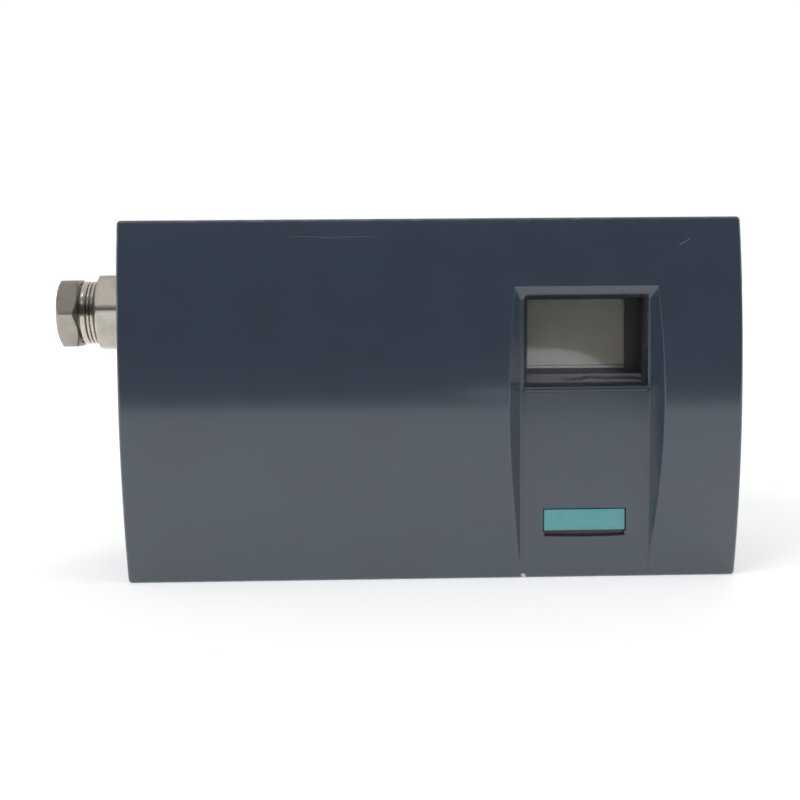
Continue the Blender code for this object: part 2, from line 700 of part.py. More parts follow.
def build_cover_screws():
    """The screws face the rear, so they are drawn with their heads on the low side."""
    screw = bmesh.new()
    seat = PART_GAP - SCREW_SEAT_DEPTH
    socket_screw(screw, SCREW_RADIUS, SCREW_HEAD_RADIUS, SCREW_HEAD_HEIGHT,
                 COVER_BACK + SCREW_REACH + seat, SCREW_SOCKET_RADIUS, seat=seat)
    facing_rear = Matrix(((1, 0, 0, 0), (0, 0, 1, 0), (0, -1, 0, 0), (0, 0, 0, 1)))
    return copies(piece("cover_screw", screw, STEEL, facing=facing_rear), "cover_screw", corner_points())


# Base housing
def insert_points():
    """Where the four mounting inserts stand round the shaft, as (x, z)."""
    half = INSERT_SPACING / 2
    return [(SHAFT_X + side * half, up * half) for side in (-1, 1) for up in (-1, 1)]


def block_window(grow):
    """Outline of the pneumatic block's face, seen from the right side, grown on every side."""
    middle = -(BLOCK_FACE_FROM_BACK + BLOCK_FACE_DEPTH_HIGH) / 2
    width = BLOCK_FACE_DEPTH_HIGH - BLOCK_FACE_FROM_BACK
    return rounded_rectangle(width + 2 * grow, BLOCK_FACE_HEIGHT + 2 * grow, BLOCK_CORNER, (middle, 0.0))


def build_base_housing():
    outer = bmesh.new()
    extruded(outer, rectangle(BODY_WIDTH, BODY_HEIGHT), 0.0, BASE_DEPTH)
    soften(outer, EDGE_ROUND, lambda at: abs(at.z - BASE_DEPTH) < 1e-6)
    base = piece("base_housing", outer, SLATE_PLASTIC, smooth=True)

    core = bmesh.new()
    inner = rounded_rectangle(BODY_WIDTH - 2 * BASE_WALL, BODY_HEIGHT - 2 * BASE_WALL, EDGE_ROUND)
    extruded(core, inner, BASE_BACK, COVER_EDGE)
    combine(base, helper("base_core_cut", core), "DIFFERENCE")

    added = bmesh.new()
    for x, z in corner_points():
        extruded(added, rectangle(PILLAR_WIDTH, PILLAR_WIDTH, (x, z)), BASE_BACK / 2, BASE_DEPTH)
    boss_radius = INSERT_RADIUS + PART_GAP + INSERT_BOSS_WALL
    for point in insert_points():
        cylinder(added, boss_radius, BASE_BACK / 2, INSERT_LENGTH + INSERT_BOSS_WALL,
                 SMALL_ROUND_STEPS, point)
    cylinder(added, BUSH_RADIUS + PART_GAP + BASE_WALL, BASE_BACK / 2, BUSH_LENGTH, ROUND_STEPS, (SHAFT_X, 0))
    for point in post_points():
        cylinder(added, POST_RADIUS, BASE_BACK / 2, BOARD_DEPTH - PART_GAP, SMALL_ROUND_STEPS, point)
    combine(base, helper("base_bosses", added), "UNION")

    holes = bmesh.new()
    clear = SCREW_RADIUS + PART_GAP
    seat = SCREW_HEAD_RADIUS + PART_GAP
    for point in corner_points():
        turned(holes, [(0, -BASE_BACK), (seat, -BASE_BACK), (seat, SCREW_SEAT_DEPTH),
                       (clear, SCREW_SEAT_DEPTH), (clear, COVER_EDGE), (0, COVER_EDGE)],
               SMALL_ROUND_STEPS, point)
    for point in insert_points():
        cylinder(holes, INSERT_RADIUS + PART_GAP, -BASE_BACK, INSERT_LENGTH, SMALL_ROUND_STEPS, point)
    cylinder(holes, BUSH_RADIUS + PART_GAP, -BASE_BACK, COVER_EDGE, ROUND_STEPS, (SHAFT_X, 0))
    for point in post_points():
        cylinder(holes, POST_SCREW_RADIUS + PART_GAP, BOARD_DEPTH - POST_SCREW_REACH - PART_GAP, COVER_EDGE,
                 SCREW_STEPS, point)
    outer_edge = 2 * (SEAL_EDGE - PART_GAP)
    inner_edge = 2 * (SEAL_EDGE + SEAL_WIDTH + PART_GAP)
    framed(holes, rectangle(BODY_WIDTH - outer_edge, BODY_HEIGHT - outer_edge),
           rectangle(BODY_WIDTH - inner_edge, BODY_HEIGHT - inner_edge),
           BASE_DEPTH - SEAL_HEIGHT, COVER_EDGE)
    combine(base, helper("base_holes", holes), "DIFFERENCE")

    left = bmesh.new()
    for up in (-1, 1):
        cylinder(left, ENTRY_THREAD_RADIUS + PART_GAP, -2 * BASE_WALL, BASE_WALL, ROUND_STEPS,
                 (ENTRY_DEPTH, up * ENTRY_Z))
    cylinder(left, EARTH_SCREW_RADIUS + PART_GAP, -2 * BASE_WALL, BASE_WALL, SMALL_ROUND_STEPS,
             (ENTRY_DEPTH, 0.0))
    left = helper("left_wall_holes", left, (-HALF_WIDTH, 0, 0), FACING_LEFT)
    combine(base, left, "DIFFERENCE")

    right = bmesh.new()
    extruded(right, block_window(PART_GAP), -2 * BASE_WALL, BASE_WALL)
    right = helper("right_wall_window", right, (HALF_WIDTH, 0, 0), FACING_RIGHT)
    combine(base, right, "DIFFERENCE")
    return base


def build_housing_seal():
    seal = bmesh.new()
    low = BASE_DEPTH - SEAL_HEIGHT + PART_GAP
    outer = 2 * SEAL_EDGE
    inner = 2 * (SEAL_EDGE + SEAL_WIDTH)
    framed(seal, rectangle(BODY_WIDTH - outer, BODY_HEIGHT - outer),
           rectangle(BODY_WIDTH - inner, BODY_HEIGHT - inner), low, COVER_BACK - PART_GAP)
    return piece("housing_seal", seal, BLACK_RUBBER)


def build_mounting_inserts():
    sleeve = bmesh.new()
    tube(sleeve, INSERT_RADIUS, INSERT_BORE_RADIUS, 0.0, INSERT_LENGTH - PART_GAP, SMALL_ROUND_STEPS)
    return copies(piece("mounting_insert", sleeve, BRASS, smooth=True), "mounting_insert", insert_points())


# Cable gland and the other pieces on the left wall
def build_left_wall_pieces():
    wall = PART_GAP
    washer_top = wall + GLAND_WASHER_THICKNESS
    body_start = washer_top + PART_GAP
    hex_start = body_start + GLAND_COLLAR_LENGTH
    hex_end = hex_start + GLAND_BODY_LENGTH
    nut_start = hex_end + GLAND_NECK_LENGTH + PART_GAP
    nut_end = nut_start + GLAND_NUT_LENGTH
    nut_inside = nut_end - GLAND_NUT_TOP / 2
    neck_end = nut_inside - GLAND_NUT_TOP / 2 - PART_GAP
    inside = -BASE_WALL - PART_GAP
    place = (-HALF_WIDTH, -ENTRY_DEPTH, ENTRY_Z)
    plug_place = (-HALF_WIDTH, -ENTRY_DEPTH, -ENTRY_Z)
    steps = 6 * HEX_POINTS_PER_SIDE

    body = bmesh.new()
    skinned(body, [at_height(circle(ENTRY_THREAD_RADIUS, steps), -GLAND_THREAD_LENGTH),
                   at_height(circle(ENTRY_THREAD_RADIUS, steps), body_start),
                   at_height(circle(GLAND_COLLAR_RADIUS, steps), body_start),
                   at_height(circle(GLAND_COLLAR_RADIUS, steps), hex_start),
                   at_height(hexagon(GLAND_BODY_FLATS), hex_start),
                   at_height(hexagon(GLAND_BODY_FLATS), hex_end),
                   at_height(circle(GLAND_NECK_RADIUS, steps), hex_end),
                   at_height(circle(GLAND_NECK_RADIUS, steps), neck_end),
                   at_height(circle(GLAND_BORE_RADIUS, steps), neck_end),
                   at_height(circle(GLAND_BORE_RADIUS, steps), -GLAND_THREAD_LENGTH)], ring=True)
    body = piece("gland_body", body, NICKEL, place, FACING_LEFT)

    nut = bmesh.new()
    cavity = GLAND_NECK_RADIUS + PART_GAP
    chamfered = circle(GLAND_NUT_FLATS / 2, steps)
    skinned(nut, [at_height(hexagon(GLAND_NUT_FLATS), nut_start),
                  at_height(hexagon(GLAND_NUT_FLATS), nut_end - EDGE_ROUND),
                  at_height(chamfered, nut_end),
                  at_height(circle(GLAND_MOUTH_RADIUS, steps), nut_end),
                  at_height(circle(GLAND_MOUTH_RADIUS, steps), nut_inside),
                  at_height(circle(cavity, steps), nut_inside),
                  at_height(circle(cavity, steps), nut_start)], ring=True)
    nut = piece("gland_nut", nut, NICKEL, place, FACING_LEFT)

    seal = bmesh.new()
    inner = GLAND_BORE_RADIUS - PART_GAP
    lip_low = neck_end + PART_GAP
    lip_high = nut_inside - PART_GAP
    skinned(seal, [at_height(circle(inner, steps), lip_high - SEAL_LENGTH),
                   at_height(circle(inner, steps), lip_low),
                   at_height(circle(GLAND_NECK_RADIUS, steps), lip_low),
                   at_height(circle(GLAND_NECK_RADIUS, steps), lip_high),
                   at_height(circle(SEAL_BORE_RADIUS, steps), lip_high),
                   at_height(circle(SEAL_BORE_RADIUS, steps), lip_high - SEAL_LENGTH)], ring=True)
    seal = piece("gland_seal", seal, BLACK_RUBBER, place, FACING_LEFT)

    made = [body, nut, seal]
    for name, at in (("gland", place), ("plug", plug_place)):
        washer = bmesh.new()
        tube(washer, GLAND_COLLAR_RADIUS, ENTRY_THREAD_RADIUS + PART_GAP, wall, washer_top, SMALL_ROUND_STEPS)
        made.append(piece(name + "_washer", washer, BLACK_RUBBER, at, FACING_LEFT, smooth=True))
        locknut = bmesh.new()
        framed(locknut, hexagon(LOCKNUT_FLATS), circle(ENTRY_THREAD_RADIUS + PART_GAP, steps),
               inside - LOCKNUT_LENGTH, inside)
        made.append(piece(name + "_locknut", locknut, NICKEL, at, FACING_LEFT))

    plug = bmesh.new()
    top = body_start + PLUG_HEAD_LENGTH
    skinned(plug, [at_height(circle(ENTRY_THREAD_RADIUS, steps), -GLAND_THREAD_LENGTH),
                   at_height(circle(ENTRY_THREAD_RADIUS, steps), body_start),
                   at_height(hexagon(PLUG_HEAD_FLATS), body_start),
                   at_height(hexagon(PLUG_HEAD_FLATS), top),
                   at_height(circle(PLUG_SOCKET_RADIUS, steps), top),
                   at_height(circle(PLUG_SOCKET_RADIUS, steps), top - PLUG_HEAD_LENGTH / 2)])
    made.append(piece("blanking_plug", plug, NICKEL, plug_place, FACING_LEFT))

    earth = (-HALF_WIDTH, -ENTRY_DEPTH, 0.0)
    plate = bmesh.new()
    plate_top = wall + EARTH_PLATE_THICKNESS
    tube(plate, EARTH_PLATE_RADIUS, EARTH_SCREW_RADIUS + PART_GAP, wall, plate_top, SMALL_ROUND_STEPS)
    made.append(piece("earth_plate", plate, STEEL, earth, FACING_LEFT, smooth=True))
    screw = bmesh.new()
    seat = plate_top + PART_GAP
    socket_screw(screw, EARTH_SCREW_RADIUS, EARTH_HEAD_RADIUS, EARTH_HEAD_LENGTH,
                 seat + 2 * BASE_WALL, EARTH_SCREW_RADIUS, seat=seat)
    made.append(piece("earth_screw", screw, STEEL, earth, FACING_LEFT))
    return made


# Pneumatic block and valves on the right
def build_pneumatic_block():
    flange_front = -(BASE_WALL + 2 * PART_GAP + GASKET_THICKNESS)
    block = bmesh.new()
    skinned(block, [at_height(block_window(BLOCK_FLANGE), -BLOCK_WIDTH),
                    at_height(block_window(BLOCK_FLANGE), flange_front),
                    at_height(block_window(0.0), flange_front),
                    at_height(block_window(0.0), 0.0)])
    place = (HALF_WIDTH, 0, 0)
    block = piece("pneumatic_block", block, ALUMINIUM, place, FACING_RIGHT)

    bores = bmesh.new()
    for up in (-1, 0, 1):
        turned(bores, [(0, -BLOCK_WIDTH - BASE_WALL), (PASSAGE_RADIUS, -BLOCK_WIDTH - BASE_WALL),
                       (PASSAGE_RADIUS, -PORT_LENGTH), (PORT_RADIUS, -PORT_LENGTH),
                       (PORT_RADIUS, -PORT_CHAMFER), (PORT_RADIUS + PORT_CHAMFER, 0),
                       (PORT_RADIUS + PORT_CHAMFER, BASE_WALL), (0, BASE_WALL)],
               ROUND_STEPS, (-PORT_DEPTH, up * PORT_SPACING))
    for up in (-1, 1):
        cylinder(bores, RESTRICTOR_RADIUS + PART_GAP, -RESTRICTOR_LENGTH, BASE_WALL, SMALL_ROUND_STEPS,
                 (-RESTRICTOR_DEPTH, up * PORT_SPACING / 2))
    cylinder(bores, SILENCER_RADIUS + PART_GAP, -SILENCER_LENGTH - PART_GAP, BASE_WALL, SMALL_ROUND_STEPS,
             (-RESTRICTOR_DEPTH, 0.0))
    combine(block, helper("block_bores", bores, place, FACING_RIGHT), "DIFFERENCE")

    gasket = bmesh.new()
    gasket_back = flange_front + PART_GAP
    framed(gasket, block_window(BLOCK_FLANGE), block_window(PART_GAP), gasket_back,
           gasket_back + GASKET_THICKNESS)
    gasket = piece("block_gasket", gasket, BLACK_RUBBER, place, FACING_RIGHT)

    silencer = bmesh.new()
    turned(silencer, [(0, -SILENCER_LENGTH), (SILENCER_RADIUS, -SILENCER_LENGTH),
                      (SILENCER_RADIUS, -2 * SILENCER_CROWN), (SILENCER_RADIUS / 2, -SILENCER_CROWN),
                      (0, -SILENCER_CROWN)], SMALL_ROUND_STEPS)
    side = (HALF_WIDTH, -RESTRICTOR_DEPTH, 0.0)
    silencer = piece("exhaust_silencer", silencer, BRONZE, side, FACING_RIGHT, smooth=True)
    return [block, gasket, silencer]


def build_restrictor(name, up):
    """A grub screw that throttles one output port; its origin is on its own axis."""
    screw = bmesh.new()
    hex_outline = hexagon(RESTRICTOR_HEX, 2)
    round_outline = circle(RESTRICTOR_RADIUS, len(hex_outline))
    top = -RESTRICTOR_SETBACK
    low = PART_GAP - RESTRICTOR_LENGTH
    skinned(screw, [at_height(round_outline, low), at_height(round_outline, top),
                    at_height(hex_outline, top), at_height(hex_outline, top - RESTRICTOR_HEX_DEPTH)])
    place = (HALF_WIDTH, -RESTRICTOR_DEPTH, up * PORT_SPACING / 2)
    return piece(name, screw, BRASS, place, FACING_RIGHT)


def build_valve_unit():
    middle = (MANIFOLD_LEFT + MANIFOLD_RIGHT) / 2
    outline = rounded_rectangle(MANIFOLD_WIDTH, MANIFOLD_HEIGHT, MANIFOLD_CORNER, (middle, 0.0))
    manifold = bmesh.new()
    extruded(manifold, outline, BASE_BACK + PART_GAP, MANIFOLD_FRONT)
    manifold = piece("valve_manifold", manifold, PALE_PLASTIC)

    gasket = bmesh.new()
    extruded(gasket, rectangle(GASKET_THICKNESS, BLOCK_FACE_HEIGHT,
                               (MANIFOLD_RIGHT + PART_GAP + GASKET_THICKNESS / 2, 0.0)),
             BLOCK_FACE_FROM_BACK, MANIFOLD_FRONT - PART_GAP)
    passages = bmesh.new()
    for up in (-1, 0, 1):
        cylinder(passages, PASSAGE_RADIUS, -BASE_WALL, BASE_WALL, SMALL_ROUND_STEPS,
                 (-PORT_DEPTH, up * PORT_SPACING))
    gasket = piece("manifold_gasket", gasket, BLACK_RUBBER)
    passages = helper("gasket_passages", passages, (MANIFOLD_RIGHT, 0, 0), FACING_RIGHT)
    combine(gasket, passages, "DIFFERENCE")

    made = [manifold, gasket]
    seat = MANIFOLD_FRONT + PART_GAP
    for name, up in (("pilot_valve_upper", 1), ("pilot_valve_lower", -1)):
        valve = bmesh.new()
        at = (middle, up * PILOT_Z)
        body = rounded_rectangle(PILOT_WIDTH, PILOT_HEIGHT, EDGE_ROUND, at)
        coil = circle(COIL_RADIUS, len(body), at, math.pi / len(body) - math.pi / 2)
        skinned(valve, [at_height(body, seat), at_height(body, seat + PILOT_LENGTH),
                        at_height(coil, seat + PILOT_LENGTH),
                        at_height(coil, seat + PILOT_LENGTH + COIL_LENGTH)])
        made.append(piece(name, valve, DARK_PLASTIC))
    regulator = bmesh.new()
    cylinder(regulator, REGULATOR_RADIUS, seat, seat + REGULATOR_LENGTH, ROUND_STEPS, (middle, 0.0))
    made.append(piece("pressure_regulator", regulator, BRASS, smooth=True))
    return made


# Feedback shaft and gearing at the middle
def gear_outline(teeth, turn):
    """Involute teeth: each flank unwinds from the base circle, with clearance at the root."""
    pitch = GEAR_MODULE * teeth / 2
    base = pitch * math.cos(PRESSURE_ANGLE)
    tip = pitch + GEAR_MODULE
    root = pitch - GEAR_DEDENDUM * GEAR_MODULE
    start = max(base, root)
    at_pitch = math.tan(PRESSURE_ANGLE) - PRESSURE_ANGLE
    half_tooth = (math.pi * GEAR_MODULE / 2 - GEAR_BACKLASH / 2) / (2 * pitch)
    flank = []
    for step in range(FLANK_POINTS):
        radius = start + (tip - start) * step / (FLANK_POINTS - 1)
        opening = math.acos(min(1.0, base / radius))
        flank.append((radius, half_tooth + at_pitch - (math.tan(opening) - opening)))
    outline = []
    for tooth in range(teeth):
        centre = turn + 2 * math.pi * tooth / teeth
        foot = flank[0][1] + GEAR_ROOT_SPREAD * 2 * math.pi / teeth
        path = [(root, -foot)] + [(radius, -angle) for radius, angle in flank]
        path += [(radius, angle) for radius, angle in reversed(flank)] + [(root, foot)]
        outline += [(radius * math.cos(centre + angle), radius * math.sin(centre + angle))
                    for radius, angle in path]
    return outline


def geared(name, teeth, turn, bore, hub, hub_low, place, material):
    """A spur gear with a hub at its rear and a bore right through."""
    gear = bmesh.new()
    extruded(gear, gear_outline(teeth, turn), GEAR_DEPTH, GEAR_DEPTH + GEAR_FACE)
    gear = piece(name, gear, material, place)
    rim = bmesh.new()
    cylinder(rim, hub, hub_low, GEAR_DEPTH + GEAR_FACE / 2)
    combine(gear, helper(name + "_hub", rim, place), "UNION")
    hole = bmesh.new()
    cylinder(hole, bore + PART_GAP, 0.0, COVER_EDGE, SMALL_ROUND_STEPS)
    combine(gear, helper(name + "_bore", hole, place), "DIFFERENCE")
    return gear


def build_shaft_pieces():
    place = (SHAFT_X, 0, 0)
    clip_front = -PART_GAP
    clip_rear = clip_front - CLIP_THICKNESS
    groove = SHAFT_RADIUS - CLIP_GROOVE_CUT

    shaft = bmesh.new()
    turned(shaft, [(0, -SHAFT_OUTSIDE), (SHAFT_RADIUS - CLIP_GROOVE_CUT, -SHAFT_OUTSIDE),
                   (SHAFT_RADIUS, CLIP_GROOVE_CUT - SHAFT_OUTSIDE), (SHAFT_RADIUS, clip_rear - PART_GAP),
                   (groove, clip_rear - PART_GAP), (groove, clip_front + PART_GAP / 2),
                   (SHAFT_RADIUS, clip_front + PART_GAP / 2), (SHAFT_RADIUS, WHEEL_FRONT), (0, WHEEL_FRONT)])
    shaft = piece("feedback_shaft", shaft, STEEL, place, smooth=True)
    flat = bmesh.new()
    flat_middle = SHAFT_RADIUS - SHAFT_FLAT_CUT + SHAFT_RADIUS
    extruded(flat, rectangle(4 * SHAFT_RADIUS, 2 * SHAFT_RADIUS, (0.0, flat_middle)),
             -2 * SHAFT_OUTSIDE, SHAFT_FLAT_LENGTH - SHAFT_OUTSIDE)
    combine(shaft, helper("shaft_flat_cut", flat, place), "DIFFERENCE")

    clip = bmesh.new()
    opening = math.asin(CLIP_MOUTH / 2 / CLIP_RADIUS)
    arc = [opening + 2 * (math.pi - opening) * step / CLIP_STEPS for step in range(CLIP_STEPS + 1)]
    inside = groove + PART_GAP
    extruded(clip, [(CLIP_RADIUS * math.cos(a), CLIP_RADIUS * math.sin(a)) for a in arc]
             + [(inside * math.cos(a), inside * math.sin(a)) for a in reversed(arc)], clip_rear, clip_front)
    clip = piece("shaft_clip", clip, STEEL, place)

    gear = geared("drive_gear", DRIVE_TEETH, -math.pi / 2, SHAFT_RADIUS, GEAR_HUB_RADIUS,
                  BUSH_FLANGE_END + PART_GAP, place, PALE_PLASTIC)
    bush = bmesh.new()
    bore = SHAFT_RADIUS + RUNNING_GAP
    rows = [(BUSH_RADIUS, PART_GAP), (BUSH_RADIUS, BUSH_END), (BUSH_FLANGE_RADIUS, BUSH_END),
            (BUSH_FLANGE_RADIUS, BUSH_FLANGE_END), (bore, BUSH_FLANGE_END), (bore, PART_GAP)]
    skinned(bush, rounds(rows), ring=True)
    bush = piece("shaft_bush", bush, BRONZE, place, smooth=True)
    return [shaft, clip, gear], bush


def build_clutch_pieces():
    """The grip wheel of the slip clutch, with its spring and nut at the shaft's front end."""
    place = (SHAFT_X, 0, 0)
    web_front = WHEEL_DEPTH + WHEEL_LENGTH / 2
    outline = []
    for step in range(WHEEL_GRIPS * 4):
        radius = WHEEL_RADIUS - (WHEEL_GRIP_CUT if step % 4 in (2, 3) else 0.0)
        angle = 2 * math.pi * step / (WHEEL_GRIPS * 4)
        outline.append((radius * math.cos(angle), radius * math.sin(angle)))
    wheel = bmesh.new()
    extruded(wheel, outline, WHEEL_DEPTH, WHEEL_FRONT)
    wheel = piece("clutch_wheel", wheel, DARK_PLASTIC, place)
    recess = bmesh.new()
    bore = SHAFT_RADIUS + PART_GAP
    cup = GEAR_HUB_RADIUS + 2 * PART_GAP
    turned(recess, [(0, WHEEL_DEPTH - BASE_WALL), (bore, WHEEL_DEPTH - BASE_WALL), (bore, web_front),
                    (cup, web_front), (cup, COVER_EDGE), (0, COVER_EDGE)])
    combine(wheel, helper("wheel_recess", recess, place), "DIFFERENCE")

    spring_low = web_front + PART_GAP
    rise = SPRING_WASHER_THICKNESS / 2
    spring = bmesh.new()
    rows = [(GEAR_HUB_RADIUS, spring_low), (GEAR_HUB_RADIUS, spring_low + rise),
            (bore, spring_low + 2 * rise), (bore, spring_low + rise)]
    skinned(spring, rounds(rows), ring=True)
    spring = piece("clutch_spring", spring, STEEL, place)

    nut = bmesh.new()
    nut_low = spring_low + 2 * rise + PART_GAP
    outline = hexagon(CLUTCH_NUT_FLATS, 2)
    framed(nut, outline, circle(bore, len(outline)), nut_low, WHEEL_FRONT - PART_GAP)
    return [wheel, spring, piece("clutch_nut", nut, BRASS, place)]


def build_potentiometer():
    place = (SHAFT_X, 0, -GEAR_CENTRES)
    body_low = CARRIER_FRONT + PART_GAP
    pinion = bmesh.new()
    extruded(pinion, gear_outline(PINION_TEETH, math.pi / 2 + math.pi / PINION_TEETH), GEAR_DEPTH,
             GEAR_DEPTH + GEAR_FACE)
    pinion = piece("pot_pinion", pinion, PALE_PLASTIC, place)
    spindle = bmesh.new()
    turned(spindle, [(0, GEAR_DEPTH - BUSH_FLANGE_THICKNESS),
                     (PINION_HUB_RADIUS, GEAR_DEPTH - BUSH_FLANGE_THICKNESS),
                     (PINION_HUB_RADIUS, GEAR_DEPTH + GEAR_FACE + PART_GAP),
                     (POT_SHAFT_RADIUS, GEAR_DEPTH + GEAR_FACE + PART_GAP),
                     (POT_SHAFT_RADIUS, body_low + POT_LENGTH / 2), (0, body_low + POT_LENGTH / 2)],
           SMALL_ROUND_STEPS)
    combine(pinion, helper("pot_spindle", spindle, place), "UNION")
    pot = bmesh.new()
    hole = POT_SHAFT_RADIUS + RUNNING_GAP
    top = body_low + POT_LENGTH
    turned(pot, [(hole, body_low), (POT_RADIUS, body_low), (POT_RADIUS, top), (0, top),
                 (0, body_low + POT_LENGTH / 2 + PART_GAP), (hole, body_low + POT_LENGTH / 2 + PART_GAP)])
    return [pinion], piece("potentiometer", pot, DARK_PLASTIC, place, smooth=True)


def build_gear_carrier():
    """The plate in front of the gears, on four posts from the back wall."""
    left = SELECTOR_X - CARRIER_LAP_LEFT
    right = SHAFT_X + CARRIER_LAP_RIGHT
    bottom = -GEAR_CENTRES - CARRIER_LAP_BOTTOM
    middle = ((left + right) / 2, (CARRIER_TOP + bottom) / 2)
    outline = rounded_rectangle(right - left, CARRIER_TOP - bottom, CARRIER_POST_RADIUS, middle)
    plate = bmesh.new()
    extruded(plate, outline, CARRIER_DEPTH, CARRIER_FRONT)
    carrier = piece("gear_carrier", plate, PALE_PLASTIC)
    posts = bmesh.new()
    inset = CARRIER_POST_RADIUS + 2 * PART_GAP
    insert_edge = INSERT_SPACING / 2 - INSERT_RADIUS - INSERT_BOSS_WALL - PART_GAP
    for x in (SHAFT_X - insert_edge + inset, SHAFT_X + insert_edge - inset):
        for z in (CARRIER_TOP - inset, bottom + inset):
            cylinder(posts, CARRIER_POST_RADIUS, BASE_BACK + PART_GAP,
                     CARRIER_FRONT - CARRIER_THICKNESS / 2, SCREW_STEPS, (x, z))
    combine(carrier, helper("carrier_posts", posts), "UNION")
    holes = bmesh.new()
    for radius, z in ((SHAFT_RADIUS, 0.0), (POT_SHAFT_RADIUS, -GEAR_CENTRES)):
        cylinder(holes, radius + PART_GAP, CARRIER_DEPTH - PART_GAP, CARRIER_FRONT + PART_GAP,
                 SMALL_ROUND_STEPS, (SHAFT_X, z))
    combine(carrier, helper("carrier_holes", holes), "DIFFERENCE")
    return carrier


def build_ratio_selector():
    """A slide on the carrier whose knob shows in a slot of the module cover."""
    foot_low = CARRIER_FRONT + PART_GAP
    foot_high = foot_low + SELECTOR_FOOT
    knob_low = MODULE_FRONT + PART_GAP
    foot = rectangle(SELECTOR_WIDTH, SELECTOR_HEIGHT)
    stem = rectangle(SELECTOR_STEM, SELECTOR_STEM)
    knob = rectangle(SELECTOR_WIDTH, SELECTOR_WIDTH)
    rows = [(foot, foot_low), (foot, foot_high), (stem, foot_high), (stem, knob_low), (knob, knob_low),
            (knob, knob_low + SELECTOR_KNOB_LENGTH)]
    slide = bmesh.new()
    skinned(slide, [at_height(outline, height) for outline, height in rows])
    return piece("ratio_selector", slide, YELLOW_PLASTIC, (SELECTOR_X, 0, 0))


# Electronics
def post_points():
    """Where the board and the module cover are held, as (x, z)."""
    height = BOARD_TOP - POST_INSET_TOP
    return [(x, up * height) for x in (BOARD_LEFT + POST_INSET_LEFT, BOARD_RIGHT - POST_INSET_RIGHT)
            for up in (-1, 1)]


def build_main_board():
    """The board has room cut out for the wheel and the selector, and a hole for the potentiometer."""
    cut = BOARD_CORNER_CUT
    outline = [(BOARD_LEFT + cut, -BOARD_TOP), (BOARD_RIGHT, -BOARD_TOP), (BOARD_RIGHT, BOARD_TOP),
               (BOARD_LEFT + cut, BOARD_TOP), (BOARD_LEFT, BOARD_TOP - cut), (BOARD_LEFT, cut - BOARD_TOP)]
    board = bmesh.new()
    extruded(board, outline, BOARD_DEPTH, BOARD_FRONT)
    board = piece("main_board", board, BOARD_GREEN)
    holes = bmesh.new()
    for point in post_points():
        cylinder(holes, POST_SCREW_RADIUS + PART_GAP, BASE_BACK, COVER_EDGE, SCREW_STEPS, point)
    cylinder(holes, POT_RADIUS + PART_GAP, BASE_BACK, COVER_EDGE, SMALL_ROUND_STEPS, (SHAFT_X, -GEAR_CENTRES))
    left = SELECTOR_X - SELECTOR_WIDTH / 2
    right = SHAFT_X + WHEEL_RADIUS
    cut = rectangle(right - left, 2 * WHEEL_RADIUS, ((left + right) / 2, 0.0))
    extruded(holes, cut, BASE_BACK, COVER_EDGE)
    combine(board, helper("board_holes", holes), "DIFFERENCE")
    return board


def build_module_screws():
    """Long screws through the module cover, its sleeves and the board into the housing's posts."""
    screw = bmesh.new()
    seat = MODULE_FRONT + PART_GAP
    socket_screw(screw, POST_SCREW_RADIUS, 2 * POST_SCREW_RADIUS, POST_SCREW_RADIUS,
                 seat - BOARD_DEPTH + POST_SCREW_REACH, POST_SCREW_RADIUS, seat=seat)
    return copies(piece("module_screw", screw, STEEL), "module_screw", post_points())


def build_terminals():
    made = []
    low = BOARD_FRONT + PART_GAP
    high = low + TERMINAL_LENGTH
    for name, up in (("terminal_block_upper", 1), ("terminal_block_lower", -1)):
        middle_z = up * TERMINAL_MIDDLE_Z
        span = TERMINAL_WAYS * TERMINAL_PITCH
        left = TERMINAL_MIDDLE_X - TERMINAL_WIDTH / 2
        right = TERMINAL_MIDDLE_X + TERMINAL_WIDTH / 2
        shoulder = low + TERMINAL_LENGTH * TERMINAL_SHOULDER_SHARE
        block = bmesh.new()
        rows = [[(left, z, low), (right, z, low), (right, z, high), (TERMINAL_MIDDLE_X, z, high),
                 (left, z, shoulder)] for z in (middle_z - span / 2, middle_z + span / 2)]
        skinned(block, [[(x, z, depth) for x, z, depth in row] for row in rows])
        block = piece(name, block, GREEN_PLASTIC)
        ways = bmesh.new()
        for way in range(TERMINAL_WAYS):
            z = middle_z - span / 2 + TERMINAL_PITCH * (way + 0.5)
            entry = low + TERMINAL_LENGTH * TERMINAL_ENTRY_SHARE
            mouth = rectangle(TERMINAL_ENTRY, TERMINAL_ENTRY, (-entry, z))
            extruded(ways, mouth, left - TERMINAL_ENTRY, left + TERMINAL_ENTRY)
        combine(block, helper(name + "_ways", ways, facing=FACING_RIGHT), "DIFFERENCE")
        wells = bmesh.new()
        screw_x = (TERMINAL_MIDDLE_X + right) / 2
        for way in range(TERMINAL_WAYS):
            z = middle_z - span / 2 + TERMINAL_PITCH * (way + 0.5)
            cylinder(wells, TERMINAL_SCREW_RADIUS, shoulder, COVER_EDGE, TERMINAL_SCREW_STEPS, (screw_x, z))
        combine(block, helper(name + "_wells", wells), "DIFFERENCE")
        made.append(block)
    return made


def key_points():
    """Where the keys stand under the display, as (x, z)."""
    middle = (TOWER_LEFT + TOWER_RIGHT) / 2
    height = TOWER_BOTTOM + KEY_FROM_TOWER_END
    return [(middle + KEY_SPACING * (count - (KEY_COUNT - 1) / 2), height) for count in range(KEY_COUNT)]


def display_outline(grow):
    """The display opening, grown on every side."""
    middle = (WINDOW_MIDDLE_X - DISPLAY_SHIFT, WINDOW_TOP - DISPLAY_FROM_TOP - DISPLAY_HEIGHT / 2)
    return rectangle(DISPLAY_WIDTH + 2 * grow, DISPLAY_HEIGHT + 2 * grow, middle)


